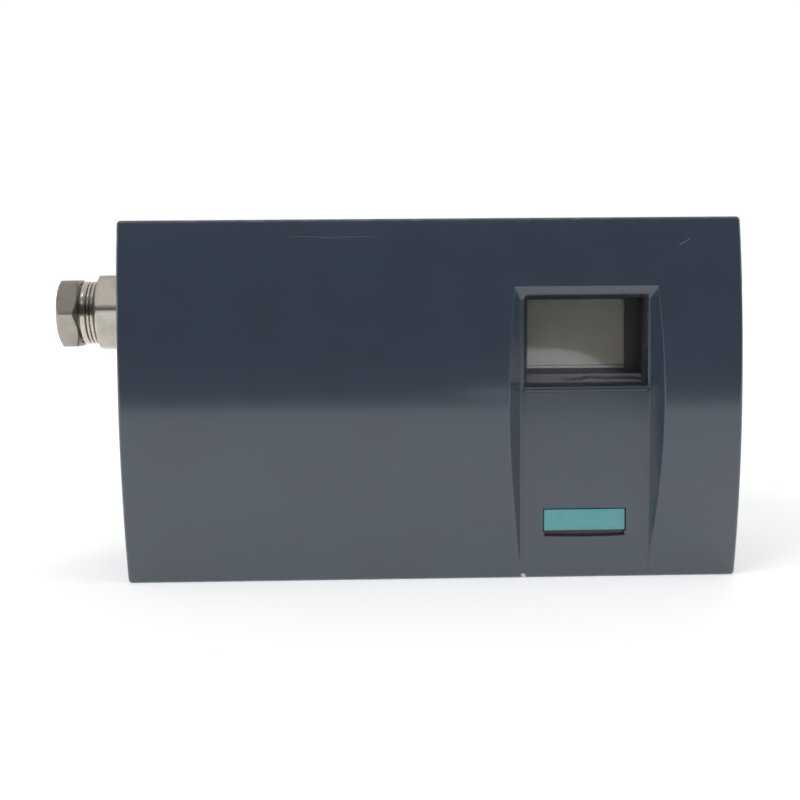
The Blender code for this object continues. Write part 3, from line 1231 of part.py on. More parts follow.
def tower_outline(inset):
    """The raised box round the display and the keys, set in on every side."""
    middle = ((TOWER_LEFT + TOWER_RIGHT) / 2, (TOWER_BOTTOM + TOWER_TOP) / 2)
    return rounded_rectangle(TOWER_RIGHT - TOWER_LEFT - 2 * inset, TOWER_TOP - TOWER_BOTTOM - 2 * inset,
                             EDGE_ROUND, middle)


def build_module_cover():
    middle = ((MODULE_LEFT + MODULE_RIGHT) / 2, 0.0)
    plate = bmesh.new()
    extruded(plate, rounded_rectangle(MODULE_RIGHT - MODULE_LEFT, MODULE_HEIGHT, MODULE_CORNER, middle),
             MODULE_DEPTH, MODULE_FRONT)
    cover = piece("module_cover", plate, DARK_PLASTIC)
    tower = bmesh.new()
    extruded(tower, tower_outline(0.0), MODULE_DEPTH + MODULE_THICKNESS / 2, TOWER_DEPTH)
    for point in post_points():
        cylinder(tower, POST_RADIUS, BOARD_FRONT + PART_GAP, MODULE_DEPTH + MODULE_THICKNESS / 2,
                 SMALL_ROUND_STEPS, point)
    combine(cover, helper("display_tower", tower), "UNION")
    hollow = bmesh.new()
    extruded(hollow, tower_outline(TOWER_WALL), MODULE_DEPTH - TOWER_WALL, TOWER_DEPTH - TOWER_WALL)
    combine(cover, helper("tower_hollow", hollow), "DIFFERENCE")
    holes = bmesh.new()
    low = MODULE_DEPTH - MODULE_THICKNESS
    high = MODULE_FRONT + MODULE_THICKNESS
    behind = TOWER_DEPTH - 2 * TOWER_WALL
    extruded(holes, display_outline(0.0), behind, COVER_EDGE)
    for point in key_points():
        cylinder(holes, KEY_RADIUS + PART_GAP, behind, COVER_EDGE, SMALL_ROUND_STEPS, point)
    for point in post_points():
        cylinder(holes, POST_SCREW_RADIUS + PART_GAP, BOARD_DEPTH, high, SCREW_STEPS, point)
    cylinder(holes, WHEEL_RADIUS + 2 * PART_GAP, low, high, ROUND_STEPS, (SHAFT_X, 0.0))
    slot_left = SELECTOR_X - SELECTOR_STEM / 2 - PART_GAP
    slot_right = SELECTOR_X + SELECTOR_STEM / 2 + SELECTOR_TRAVEL + PART_GAP
    extruded(holes, rectangle(slot_right - slot_left, SELECTOR_STEM + 2 * PART_GAP,
                              ((slot_left + slot_right) / 2, 0.0)), low, high)
    combine(cover, helper("module_holes", holes), "DIFFERENCE")
    return cover


def build_display():
    front = TOWER_DEPTH - TOWER_WALL - PART_GAP
    back = front - DISPLAY_THICKNESS
    glass = bmesh.new()
    extruded(glass, display_outline(DISPLAY_LAP), back, front)
    glass = piece("display_glass", glass, DISPLAY_GLASS)
    board = bmesh.new()
    board_front = back - PART_GAP
    extruded(board, tower_outline(TOWER_WALL + PART_GAP), board_front - BOARD_THICKNESS, board_front)
    board = piece("display_board", board, BOARD_GREEN)
    switches = bmesh.new()
    for point in key_points():
        extruded(switches, rectangle(SWITCH_WIDTH, SWITCH_WIDTH, point), board_front - BOARD_THICKNESS / 2,
                 front - KEY_FLANGE_THICKNESS - KEY_TRAVEL - PART_GAP)
    combine(board, helper("key_switches", switches), "UNION")
    return [glass, board]


def build_key(name, point):
    """A push key held behind the tower's front by a flange, with its origin on its own axis."""
    flange_front = -TOWER_WALL - PART_GAP
    flange_back = flange_front - KEY_FLANGE_THICKNESS
    key = bmesh.new()
    turned(key, [(0, flange_back), (KEY_FLANGE_RADIUS, flange_back), (KEY_FLANGE_RADIUS, flange_front),
                 (KEY_RADIUS, flange_front), (KEY_RADIUS, KEY_PROUD - KEY_EDGE),
                 (KEY_RADIUS - KEY_EDGE, KEY_PROUD), (0, KEY_PROUD)], SMALL_ROUND_STEPS)
    return piece(name, key, BLACK_RUBBER, (point[0], -TOWER_DEPTH, point[1]), smooth=True)


# Assembly: the still pieces, then each moving body under the empty that marks its joint
def build_positioner():
    build_base_housing()
    build_housing_seal()
    build_cover_screws()
    build_mounting_inserts()
    build_left_wall_pieces()
    build_pneumatic_block()
    build_valve_unit()
    build_gear_carrier()
    build_main_board()
    build_module_screws()
    build_terminals()
    build_module_cover()
    build_display()

    cover = [build_cover_shell(), build_name_plate()] + build_window()
    carry(joint_empty("cover_lift_joint", (0, -COVER_BACK, 0)), cover)
    shaft_body, _ = build_shaft_pieces()
    carry(joint_empty("shaft_joint", (SHAFT_X, 0, 0)), shaft_body + build_clutch_pieces())
    pinion_body, _ = build_potentiometer()
    carry(joint_empty("pot_joint", (SHAFT_X, 0, -GEAR_CENTRES)), pinion_body)
    carry(joint_empty("selector_joint", (SELECTOR_X, -CARRIER_DEPTH, 0)), [build_ratio_selector()])
    for name, up in (("restrictor_upper", 1), ("restrictor_lower", -1)):
        build_restrictor(name, up)
    for count, point in enumerate(key_points(), start=1):
        build_key(f"key_{count}", point)


build_positioner()
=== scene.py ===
# %% [markdown]
# # A valve positioner, dressed for its picture
# The object is a slate plastic box with an arched lid. A window and a teal plate sit in a pocket of
# the lid, a nickel cable gland stands on the left, an aluminium air block is let into the right
# side, and a feedback shaft sticks out at the rear. The measured model comes in as a fixed frame,
# so nothing here is placed by eye: each new piece takes its size from the piece it stands for.

import json
import math

import bmesh
import bpy
import numpy as np
from mathutils import Matrix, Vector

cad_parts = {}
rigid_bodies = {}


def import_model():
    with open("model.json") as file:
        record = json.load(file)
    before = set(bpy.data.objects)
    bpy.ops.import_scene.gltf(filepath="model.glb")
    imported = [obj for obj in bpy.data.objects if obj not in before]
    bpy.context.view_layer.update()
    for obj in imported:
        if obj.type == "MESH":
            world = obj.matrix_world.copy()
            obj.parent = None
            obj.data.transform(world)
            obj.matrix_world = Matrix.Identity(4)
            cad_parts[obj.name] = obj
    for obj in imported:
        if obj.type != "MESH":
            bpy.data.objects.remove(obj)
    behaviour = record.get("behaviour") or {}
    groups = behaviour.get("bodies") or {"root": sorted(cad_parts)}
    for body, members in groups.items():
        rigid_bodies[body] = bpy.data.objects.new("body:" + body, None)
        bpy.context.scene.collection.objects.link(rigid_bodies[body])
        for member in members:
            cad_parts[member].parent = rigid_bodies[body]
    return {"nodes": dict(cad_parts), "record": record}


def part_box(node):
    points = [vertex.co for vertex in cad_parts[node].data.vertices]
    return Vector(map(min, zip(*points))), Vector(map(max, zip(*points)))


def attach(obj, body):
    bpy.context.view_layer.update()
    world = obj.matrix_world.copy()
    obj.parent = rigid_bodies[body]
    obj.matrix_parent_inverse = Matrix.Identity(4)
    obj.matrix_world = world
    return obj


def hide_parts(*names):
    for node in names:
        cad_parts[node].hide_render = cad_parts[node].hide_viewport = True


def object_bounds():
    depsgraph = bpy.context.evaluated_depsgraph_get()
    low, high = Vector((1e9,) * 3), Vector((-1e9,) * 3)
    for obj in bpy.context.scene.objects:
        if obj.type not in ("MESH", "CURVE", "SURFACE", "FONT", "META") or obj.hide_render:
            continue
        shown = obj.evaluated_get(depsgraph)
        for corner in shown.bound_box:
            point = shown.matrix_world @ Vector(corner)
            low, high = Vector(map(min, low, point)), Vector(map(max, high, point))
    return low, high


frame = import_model()
cad_box = [[float(value) for value in corner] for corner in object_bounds()]
MM = 0.001
print("the measured model spans, in mm:", np.round(np.array(cad_box) / MM, 1).tolist())


def in_scene(name, data):
    """An object for a mesh, a camera or a lamp, linked to the scene."""
    made = bpy.data.objects.new(name, data)
    bpy.context.scene.collection.objects.link(made)
    return made


# %% [markdown]
# ## The camera
# The picture was taken from a little above the middle of the box and slightly to its left. The
# straight edges of the lid fix the camera: their four corners give its place, its three turns and
# its focal length. A small shift stands in for the crop.

# %% Camera
EYE = (-0.01083, -0.47155, 0.04226)
PITCH, YAW, ROLL = np.radians([6.22, 1.60, -0.46])
ahead = np.array([math.sin(YAW) * math.cos(PITCH), math.cos(YAW) * math.cos(PITCH), -math.sin(PITCH)])
level = np.array([math.cos(YAW), -math.sin(YAW), 0.0])
upward = np.cross(level, ahead)
right = math.cos(ROLL) * level + math.sin(ROLL) * upward
upright = math.cos(ROLL) * upward - math.sin(ROLL) * level

lens = bpy.data.cameras.new("picture_camera")
lens.sensor_width = 36.0
lens.lens = 59.45
lens.shift_x = -0.0405
lens.shift_y = 0.0049
camera = in_scene("picture_camera", lens)
turned = np.column_stack([right, upright, -ahead, EYE])
camera.matrix_world = Matrix([*turned.tolist(), [0.0, 0.0, 0.0, 1.0]])
bpy.context.scene.camera = camera
print("camera distance to the lid, mm:", round((-EYE[1] - 0.084) / MM))

# %% [markdown]
# ## A small language for finishes
# A finish is a network of shader nodes. Written out by hand it is long, so one class makes a node
# from its type, its settings and its sockets, and another lets sums be written as sums. Numbers
# that are the same everywhere never go through nodes: they are set on the socket itself.

# %% Amounts and paints
def by_node(operation, swapped=False):
    """An operator that adds a Math node, with its two numbers swapped if asked."""
    def operator(amount, other):
        first, second = (other, amount) if swapped else (amount, other)
        node = amount.paint.add("ShaderNodeMath", {"operation": operation}, {0: first, 1: second})
        return Amount(amount.paint, node.outputs[0])
    return operator


class Amount:
    """A number that changes over a surface. Sums written with it add Math nodes to its paint."""

    def __init__(self, paint, socket):
        self.paint = paint
        self.socket = socket

    __add__, __radd__ = by_node("ADD"), by_node("ADD", swapped=True)
    __sub__, __rsub__ = by_node("SUBTRACT"), by_node("SUBTRACT", swapped=True)
    __mul__, __rmul__ = by_node("MULTIPLY"), by_node("MULTIPLY", swapped=True)
    __truediv__ = by_node("DIVIDE")
    __pow__ = by_node("POWER")
    at_least = by_node("MAXIMUM")
    absolute = by_node("ABSOLUTE")

    def __abs__(self):
        return self.absolute(0.0)

    def between(self, low, high):
        """0 below low, 1 above high and an S-curve in between."""
        node = self.paint.add("ShaderNodeMapRange", {"interpolation_type": "SMOOTHSTEP"},
                              {"Value": self, "From Min": low, "From Max": high})
        return Amount(self.paint, node.outputs["Result"])

    def near(self, middle, reach):
        """1 at a value, falling to 0 at a distance from it."""
        return 1.0 - abs(self - middle).between(0.0, reach)

    def band(self, low, full_from, full_to, high):
        """1 between two values, falling to 0 at a lower and at a higher one."""
        return self.between(low, full_from) * (1.0 - self.between(full_to, high))


class Paint:
    """One material and the nodes that make it, or the nodes of a tree that is there, such as the world's."""

    def __init__(self, name, tree=None, coordinates="Object"):
        if tree is None:
            self.material = bpy.data.materials.new(name)
            self.material.use_nodes = True
            tree = self.material.node_tree
        self.tree = tree
        self.tree.nodes.clear()
        self.place = self.add("ShaderNodeTexCoord").outputs[coordinates]

    def add(self, kind, settings=None, sockets=None):
        """Make a node, give it its settings, then set or link its sockets."""
        node = self.tree.nodes.new(kind)
        for name, value in (settings or {}).items():
            if name == "stops":
                set_stops(node.color_ramp, value)
            else:
                setattr(node, name, value)
        for name, value in (sockets or {}).items():
            value = value.socket if isinstance(value, Amount) else value
            if isinstance(value, bpy.types.NodeSocket):
                self.tree.links.new(value, node.inputs[name])
            else:
                node.inputs[name].default_value = value
        return node

    def axes(self):
        """The x, y and z of a point on the piece, as three amounts."""
        node = self.add("ShaderNodeSeparateXYZ", sockets={0: self.place})
        return [Amount(self, output) for output in node.outputs]

    def stretched(self, x, y, z):
        """Object coordinates, scaled along each axis."""
        return self.add("ShaderNodeMapping", sockets={"Vector": self.place, "Scale": (x, y, z)}).outputs[0]

    def noise(self, size, detail=2.0, place=None):
        """Cloudy noise whose blotches are about a size across, in metres."""
        node = self.add("ShaderNodeTexNoise", sockets={
            "Vector": place or self.place, "Scale": 1.0 / size, "Detail": detail})
        return Amount(self, node.outputs[0])

    def grains(self, size):
        """The distance to the middle of the nearest grain, for grains of a size."""
        node = self.add("ShaderNodeTexVoronoi", sockets={"Vector": self.place, "Scale": 1.0 / size})
        return Amount(self, node.outputs["Distance"])

    def mix(self, amount, first, second):
        """The first colour where the amount is 0 and the second where it is 1."""
        node = self.add("ShaderNodeMix", {"data_type": "RGBA"}, {
            0: amount, 6: opaque(first), 7: opaque(second)})
        return node.outputs[2]

    def surface(self, colour, roughness, metallic=0.0, height=None, depth=0.0, fixed=None):
        """A Principled surface. Height runs from 0 to 1, and depth is what it stands for, in metres."""
        sockets = {"Base Color": opaque(colour), "Roughness": roughness, "Metallic": metallic}
        sockets.update(fixed or {})
        if height is not None:
            bump = self.add("ShaderNodeBump", sockets={"Strength": 1.0, "Distance": depth, "Height": height})
            sockets["Normal"] = bump.outputs[0]
        return self.add("ShaderNodeBsdfPrincipled", sockets=sockets).outputs[0]

    def done(self, shader):
        """Link the shader to the material's output and hand the material over."""
        self.add("ShaderNodeOutputMaterial", sockets={0: shader})
        return self.material


def opaque(colour):
    """A colour with full alpha, where it is numbers and not a link."""
    return (*colour, 1.0) if isinstance(colour, tuple) else colour


def set_stops(ramp, stops):
    """Give a colour ramp its (position, colour) stops."""
    while len(ramp.elements) < len(stops):
        ramp.elements.new(1.0)
    for element, (position, colour) in zip(ramp.elements, stops):
        element.position = position
        element.color = opaque(colour)


print("the language of finishes is ready")

# %% [markdown]
# ## Floor and light
# The object stands on a white table in a plain studio: a big soft lamp from the upper left, a
# weaker one from the right, and an even white surround. What the lid mirrors matters as much as what
# lights it. Its face is a shallow cylinder, so each height on it mirrors its own height in the room:
# the lower half shows the white table, a line near the middle is the table's front edge, 46 cm away,
# and above that comes the dim room behind the camera, up to where its wall gets light. The floor's
# finish stops being a table beyond that edge, for mirrored rays alone, apart from a sheet of paper
# left there that the display mirrors. A little glow is added to the floor for the eye alone, so the
# table is white while the object keeps its shadow.

# %% Floor
floor_paint = Paint("white_table")
path = floor_paint.add("ShaderNodeLightPath")
mirrored = Amount(floor_paint, path.outputs["Is Glossy Ray"])
seen = Amount(floor_paint, path.outputs["Is Camera Ray"]).at_least(mirrored)
seen = seen.at_least(Amount(floor_paint, path.outputs["Is Transmission Ray"]))
floor_x, floor_y, _ = floor_paint.axes()
far = ((floor_x ** 2.0 + floor_y ** 2.0) ** 0.5).between(0.25, 1.1)
close_by = mirrored * (1.0 - (0.0 - floor_y).between(0.08, 0.32))
glow = floor_paint.add("ShaderNodeEmission", sockets={
    "Color": (0.97, 1.0, 1.03, 1.0), "Strength": seen * (0.36 + far * 0.5) + close_by * 0.22})
chalk = floor_paint.add("ShaderNodeBsdfDiffuse", sockets={"Color": (0.80, 0.80, 0.79, 1.0)})
both = floor_paint.add("ShaderNodeAddShader", sockets={0: chalk.outputs[0], 1: glow.outputs[0]})
TABLE_EDGE, EDGE_BLUR = 0.545, 0.05
beyond = (0.0 - floor_y).between(TABLE_EDGE - EDGE_BLUR, TABLE_EDGE + EDGE_BLUR)
SHEET_X, SHEET_Y, SHEET_HALF_X, SHEET_HALF_Y = 0.115, -0.893, 0.066, 0.19
sheet_x, sheet_y = abs(floor_x - SHEET_X) / SHEET_HALF_X, abs(floor_y - SHEET_Y) / SHEET_HALF_Y
sheet = 1.0 - (sheet_x ** 4.0 + sheet_y ** 4.0).between(0.90, 1.05)
gloom = floor_paint.add("ShaderNodeEmission", sockets={
    "Color": (0.10, 0.11, 0.12, 1.0), "Strength": 1.0})
room_floor = mirrored * beyond * (1.0 - sheet * 0.9)
split = floor_paint.add("ShaderNodeMixShader", sockets={
    0: room_floor, 1: both.outputs[0], 2: gloom.outputs[0]})
table_top = floor_paint.done(split.outputs[0])

FLOOR_REACH = 4.0
floor_mesh = bpy.data.meshes.new("floor")
floor_corners = [(x * FLOOR_REACH, y * FLOOR_REACH, cad_box[0][2])
                 for x, y in ((-1, -1), (1, -1), (1, 1), (-1, 1))]
floor_mesh.from_pydata(floor_corners, [], [(0, 1, 2, 3)])
floor_mesh.materials.append(table_top)
floor = in_scene("floor", floor_mesh)
print("the floor lies at, mm:", round(cad_box[0][2] / MM, 1))

# %% Surround and lamps
world = bpy.data.worlds.new("studio")
world.use_nodes = True
bpy.context.scene.world = world
studio = Paint("studio", world.node_tree, "Generated")
path = studio.add("ShaderNodeLightPath")
sight = Amount(studio, path.outputs["Is Camera Ray"])
through = Amount(studio, path.outputs["Is Transmission Ray"])
mirrored = Amount(studio, path.outputs["Is Glossy Ray"])
sideways, facing, height = studio.axes()
ROOM_BY_HEIGHT = [(0.0, (0.06,) * 3), (0.50, (0.07,) * 3), (0.58, (0.30,) * 3), (0.80, (0.34,) * 3),
                  (0.93, (0.40,) * 3), (0.97, (0.55,) * 3)]
wall = Amount(studio, studio.add("ShaderNodeValToRGB", {"stops": ROOM_BY_HEIGHT}, {0: height}).outputs[0])


def lamp_seen(azimuth, elevation, width):
    """1 inside a round patch of the room's mirror image, given by its angles and width in degrees."""
    turn, lift = np.radians([azimuth, elevation])
    way = (math.sin(turn) * math.cos(lift), -math.cos(turn) * math.cos(lift), math.sin(lift))
    match = sideways * way[0] + facing * way[1] + height * way[2]
    return match.between(math.cos(math.radians(width)), math.cos(math.radians(width * 0.6)))


in_front = (0.0 - facing).between(0.05, 0.50)
room = wall * in_front + (1.0 - in_front) * 0.80
room = room + lamp_seen(-41, 66, 5) * 6.0 + lamp_seen(-19, 40, 3) * 4.0
EVEN_LIGHT = 0.55
direct = sight.at_least(through)
strength = direct + (1.0 - direct) * (mirrored * room + (1.0 - mirrored) * EVEN_LIGHT)
background = studio.add("ShaderNodeBackground", sockets={"Color": (1.0, 1.0, 1.0, 1.0), "Strength": strength})
studio.add("ShaderNodeOutputWorld", sockets={0: background.outputs[0]})


def softbox(name, place, target, width, watts):
    """A square area lamp at a place, turned to a target. It lights, but the room shows what is mirrored."""
    data = bpy.data.lights.new(name, "AREA")
    data.size = width
    data.energy = watts
    lamp = in_scene(name, data)
    toward = np.array(target, float) - np.array(place, float)
    toward /= np.linalg.norm(toward)
    side = np.cross(toward, (0.0, 0.0, 1.0))
    side /= np.linalg.norm(side)
    columns = np.column_stack([side, np.cross(side, toward), -toward, place])
    lamp.matrix_world = Matrix([*columns.tolist(), [0.0, 0.0, 0.0, 1.0]])
    lamp.visible_glossy = False


BOX_MIDDLE = (0, -0.04, 0)
softbox("lamp_upper_left", (-0.75, -0.85, 1.05), BOX_MIDDLE, 0.8, 9.0)
softbox("lamp_right", (1.10, -0.60, 0.55), BOX_MIDDLE, 0.6, 3.0)
softbox("lamp_rear", (0.3, 1.0, 0.9), BOX_MIDDLE, 0.7, 4.0)
print("three soft lamps and an even surround of", EVEN_LIGHT)

# %% [markdown]
# ## The finishes
# Each finish is what the factory would call for: moulded plastic has a fine spark-eroded grain,
# nickel has turning lines under its plating, sintered bronze is a mass of tiny balls. A grain is a
# noise or a cell pattern at its real size, and a bump gives it a depth of some hundredths of a
# millimetre or less, so that it only shows as a change in the gloss.

# %% Moulded plastics
# the pale colour of scratches, and the colour of the painted shade in the plate's slot
SCRATCHED, SLOT_SHADE_COLOUR = (0.62, 0.62, 0.63), (0.060, 0.050, 0.072)
SCRATCH_Z, SLANT_Z, CHIP_X, CHIP_Z = 49.3 * MM, 1.6 * MM, 27.6 * MM, -54.0 * MM
SLOT_SHADE_X, SLOT_SHADE_Z = 46 * MM, -40.7 * MM


def moulded(name, colour, roughness=0.42, grain=0.45 * MM, worn=0.04, fixed=None, marks=None):
    """Satin moulded plastic: a fine grain, faint flow marks, an uneven gloss, and marks if it has any: pale
    wear, and painted shade that also takes away some coat.
    """
    paint = Paint(name)
    flow = paint.noise(17 * MM, 4.0)
    grit = paint.noise(grain, 2.0)
    lighter = tuple(min(1.0, value * (1.0 + worn)) for value in colour)
    darker = tuple(value * (1.0 - worn) for value in colour)
    tone = paint.mix(flow.between(0.35, 0.65), darker, lighter)
    if marks:
        pale, dark = marks(paint)
        # pale marks are wear; the dark mask is painted shade, darker and with less coat
        tone = paint.mix(dark, paint.mix(pale, tone, SCRATCHED), SLOT_SHADE_COLOUR)
        fixed = {**fixed, "Coat Weight": 1.0 - dark * 0.6}
    gloss = roughness - 0.04 + paint.noise(9 * MM, 3.0) * 0.08
    return paint.done(paint.surface(tone, gloss, height=grit, depth=0.010 * MM, fixed=fixed))


def wear_and_slot_shade(paint):
    """Pale wear marks, such as two scratches, rubbed edges and a chip, and painted shade in the plate's slot,
    made lighter along a streak.
    """
    x, _, z = paint.axes()
    wander = (paint.noise(14 * MM, 2.0) - 0.5) * 1.6 * MM
    long_scratch = (z + wander).near(SCRATCH_Z, 0.16 * MM)
    long_scratch = long_scratch * x.band(-44 * MM, -38 * MM, -20 * MM, -13 * MM) * 0.10
    slanting = (z - x * 0.6 + wander).near(SLANT_Z, 0.2 * MM)
    slanting = slanting * x.band(73.5 * MM, 74.2 * MM, 76.8 * MM, 77.6 * MM) * 0.22
    chip_size = ((x - CHIP_X) ** 2.0 + (z - CHIP_Z) ** 2.0) ** 0.5
    chip = 1.0 - (chip_size + (paint.noise(0.8 * MM) - 0.5) * 1.2 * MM).between(0.6 * MM, 0.9 * MM)
    side_rim = abs(x).band(91.6 * MM, 92.1 * MM, 92.2 * MM, 92.45 * MM)
    long_rim = abs(z).band(53.7 * MM, 54.1 * MM, 54.2 * MM, 54.45 * MM)
    rubbed = side_rim.at_least(long_rim) * paint.noise(5 * MM, 4.0).between(0.52, 0.70) * 0.10
    # painted shade in the plate's slot, made lighter along a wavy streak
    in_slot = z.band(-41.75 * MM, -41.6 * MM, -39.6 * MM, -39.4 * MM)
    in_slot = in_slot * (1.0 - abs(x - SLOT_SHADE_X).between(12.3 * MM, 12.5 * MM))
    lighter_streak = (paint.noise(2.2 * MM, 3.0) + x.between(52 * MM, 58 * MM) * 0.25).between(0.5, 0.75)
    lighter_streak = lighter_streak * z.near(SLOT_SHADE_Z, 0.5 * MM)
    pale = long_scratch.at_least(slanting).at_least(chip).at_least(rubbed)
    return pale, in_slot * (1.0 - lighter_streak * 0.9)


SLATE = (0.028, 0.043, 0.067)
SHEEN = {"Coat Weight": 1.0, "Coat Roughness": 0.13, "Coat IOR": 1.62, "Specular IOR Level": 0.25}
SATIN = {"Coat Weight": 1.0, "Coat Roughness": 0.27, "Coat IOR": 1.5, "Specular IOR Level": 0.25}
FINISH = {
    "slate_plastic": moulded("slate_plastic", SLATE, 0.46, fixed=SATIN),
    "slate_lid": moulded("slate_lid", SLATE, 0.42, fixed=SHEEN, marks=wear_and_slot_shade),
    "dark_plastic": moulded("dark_plastic", (0.026, 0.027, 0.033), 0.48),
    "pale_plastic": moulded("pale_plastic", (0.60, 0.60, 0.56), 0.45),
    "yellow_plastic": moulded("yellow_plastic", (0.78, 0.55, 0.07), 0.45),
    "green_plastic": moulded("green_plastic", (0.045, 0.25, 0.11), 0.42),
}
print("moulded plastics:", sorted(FINISH))


# %% Rubber
def rubber():
    """Matt black rubber with a dusty bloom in soft patches."""
    paint = Paint("black_rubber")
    bloom = paint.noise(6 * MM, 4.0).between(0.45, 0.75)
    tone = paint.mix(bloom, (0.012, 0.012, 0.013), (0.026, 0.025, 0.024))
    return paint.done(paint.surface(tone, 0.72 + bloom * 0.12, height=paint.noise(0.3 * MM), depth=0.01 * MM))


FINISH["black_rubber"] = rubber()


# %% Metals
def plated(name, colour, roughness, lines, blotch=0.06, depth=0.006 * MM, polished=None):
    """Bright metal: tool marks along one axis under cloudy plating. A stretch along x may be polished."""
    paint = Paint(name)
    marks = paint.noise(1.0, 2.0, paint.stretched(*[1.0 / size for size in lines]))
    cloud = paint.noise(7 * MM, 4.0)
    dull = tuple(value * (1.0 - 2.2 * blotch) for value in colour)
    tone = paint.mix(cloud.between(0.40, 0.72), colour, dull)
    gloss = roughness - 0.05 + cloud * 0.08 + marks * 0.06
    if polished:
        first, last = polished
        shiny = paint.axes()[0].band(first, first + 0.1 * MM, last - 0.1 * MM, last)
        gloss = gloss - shiny * (roughness - 0.17)
    return paint.done(paint.surface(tone, gloss, 1.0, height=marks, depth=depth))


ROUND_X = (0.12 * MM, 4 * MM, 4 * MM)
ROUND_Y = (4 * MM, 0.12 * MM, 4 * MM)
BARE_NECK = (-115.8 * MM, -110.65 * MM)
FINISH["nickel"] = plated("nickel", (0.52, 0.48, 0.425), 0.40, ROUND_X, 0.08, polished=BARE_NECK)
# a darker copy of the nickel for the gland nut: painted shade, for the shadowed table its facets mirror
FINISH["nickel_painted_shade"] = plated("nickel_painted_shade", (0.38, 0.355, 0.31), 0.42, ROUND_X, 0.08)
FINISH["steel"] = plated("steel", (0.58, 0.585, 0.58), 0.30, ROUND_Y)
FINISH["brass"] = plated("brass", (0.74, 0.56, 0.27), 0.28, ROUND_Y)
FINISH["aluminium"] = plated("aluminium", (0.62, 0.63, 0.64), 0.40, (2.0 * MM, 0.25 * MM, 2.0 * MM), 0.04)
print("plated and turned metals are ready")


# %% Sintered bronze, circuit board, teal paint
def sintered_bronze():
    """Bronze balls pressed together: cells 0.35 mm across with dark gaps between them."""
    paint = Paint("bronze")
    gap = paint.grains(0.35 * MM).between(0.25, 0.65)
    tone = paint.mix(gap, (0.52, 0.36, 0.20), (0.12, 0.075, 0.04))
    return paint.done(paint.surface(tone, 0.5 + gap * 0.3, 1.0, height=1.0 - gap, depth=0.06 * MM))


def circuit_board():
    """Green lacquer over copper tracks, which show as lighter, slightly raised lines."""
    paint = Paint("board_green")
    cells = paint.add("ShaderNodeTexVoronoi", {"distance": "CHEBYCHEV", "feature": "F2"},
                      {"Vector": paint.place, "Scale": 1.0 / (4.5 * MM)})
    rings = Amount(paint, cells.outputs["Distance"]) * 9.0
    track = paint.add("ShaderNodeMath", {"operation": "PINGPONG"}, {0: rings, 1: 0.5})
    line = Amount(paint, track.outputs[0]).between(0.28, 0.36)
    tone = paint.mix(line, (0.010, 0.085, 0.035), (0.028, 0.17, 0.075))
    return paint.done(paint.surface(tone, 0.34 + line * 0.08, height=line, depth=0.035 * MM))


def teal_paint():
    """Satin enamel on a small plate, with a cloudy tone and a faint orange peel."""
    paint = Paint("teal_paint")
    cloud = paint.noise(5 * MM, 4.0)
    tone = paint.mix(cloud.between(0.35, 0.7), (0.120, 0.365, 0.375), (0.135, 0.385, 0.395))
    peel = paint.noise(0.9 * MM)
    return paint.done(paint.surface(tone, 0.40 + cloud * 0.08, height=peel, depth=0.008 * MM))


FINISH["bronze"] = sintered_bronze()
FINISH["board_green"] = circuit_board()
FINISH["teal_paint"] = teal_paint()


# %% Window pane and display glass
def clear_pane():
    """A clear pane: mostly see-through, with a mirror share that grows at a slant."""
    paint = Paint("clear_pane")
    slant = Amount(paint, paint.add("ShaderNodeFresnel", sockets={"IOR": 1.49}).outputs[0])
    mirror = paint.surface((0.95, 0.97, 0.97), 0.06, 1.0)
    clear = paint.add("ShaderNodeBsdfTransparent", sockets={"Color": (0.94, 0.95, 0.945, 1.0)})
    share = slant * 0.35
    mixed = paint.add("ShaderNodeMixShader", sockets={0: share, 1: clear.outputs[0], 2: mirror})
    return paint.done(mixed.outputs[0])


def display_glass():
    """The display, switched off: olive grey, browner towards one corner, with a darker band and a painted
    highlight along its lower edge, under a polished sheet.
    """
    paint = Paint("display_glass")
    x, _, z = paint.axes()
    cloud = paint.noise(9 * MM, 3.0)
    tone = paint.mix(cloud.between(0.3, 0.7), (0.285, 0.285, 0.240), (0.310, 0.305, 0.262))
    corner = x.between(43 * MM, 60 * MM) * (1.0 - z.between(12 * MM, 22 * MM)) * cloud.between(0.35, 0.6)
    tone = paint.mix(corner * 0.8, tone, (0.310, 0.235, 0.185))
    # a darker band along the lower edge, and under it a painted highlight line
    tone = paint.mix(z.near(9.45 * MM, 0.4 * MM), tone, (0.05, 0.05, 0.05))
    glint = z.near(8.9 * MM, 0.35 * MM) * (1.0 - x.between(52 * MM, 58 * MM))
    tone = paint.mix(glint, tone, (0.55, 0.54, 0.54))
    glass = {"Coat Weight": 1.0, "Coat Roughness": 0.04, "Coat IOR": 1.9}
    return paint.done(paint.surface(tone, 0.5, fixed=glass))


def ledge_painted_reflection():
    """The polished slope at the foot of the window, with a painted reflection: a bluish violet grey, far
    lighter than the frame, with one darker streak.
    """
    paint = Paint("ledge_painted_reflection")
    x, _, z = paint.axes()
    wave = (paint.noise(11 * MM, 2.0) - 0.5) * 3 * MM
    streak = (z + wave).near(6.2 * MM, 0.9 * MM) * x.between(36 * MM, 44 * MM)
    # painted reflection: a light bluish violet grey, with a darker streak in it
    tone = paint.mix(streak, (0.170, 0.165, 0.195), (0.035, 0.040, 0.060))
    return paint.done(paint.surface(tone, 0.25, fixed={"Coat Weight": 1.0, "Coat Roughness": 0.08}))


FINISH["clear_pane"] = clear_pane()
FINISH["display_glass"] = display_glass()
FINISH["ledge_painted_reflection"] = ledge_painted_reflection()
print("finishes:", len(FINISH))

# %% [markdown]
# ## Giving every measured piece its finish
# The record says which material slot each piece belongs to. Those slots are used as they are, so a
# piece that isn't touched again below is already painted.

# %% Paint the measured pieces
SLOT_OF = {part["node"]: part["material_slot"] for part in frame["record"]["subparts"]}
BODY_OF = {node: body for body, members in frame["record"]["behaviour"]["bodies"].items() for node in members}
for node, made in frame["nodes"].items():
    made.data.materials.clear()
    made.data.materials.append(FINISH[SLOT_OF[node]])
print("painted", len(frame["nodes"]), "measured pieces")
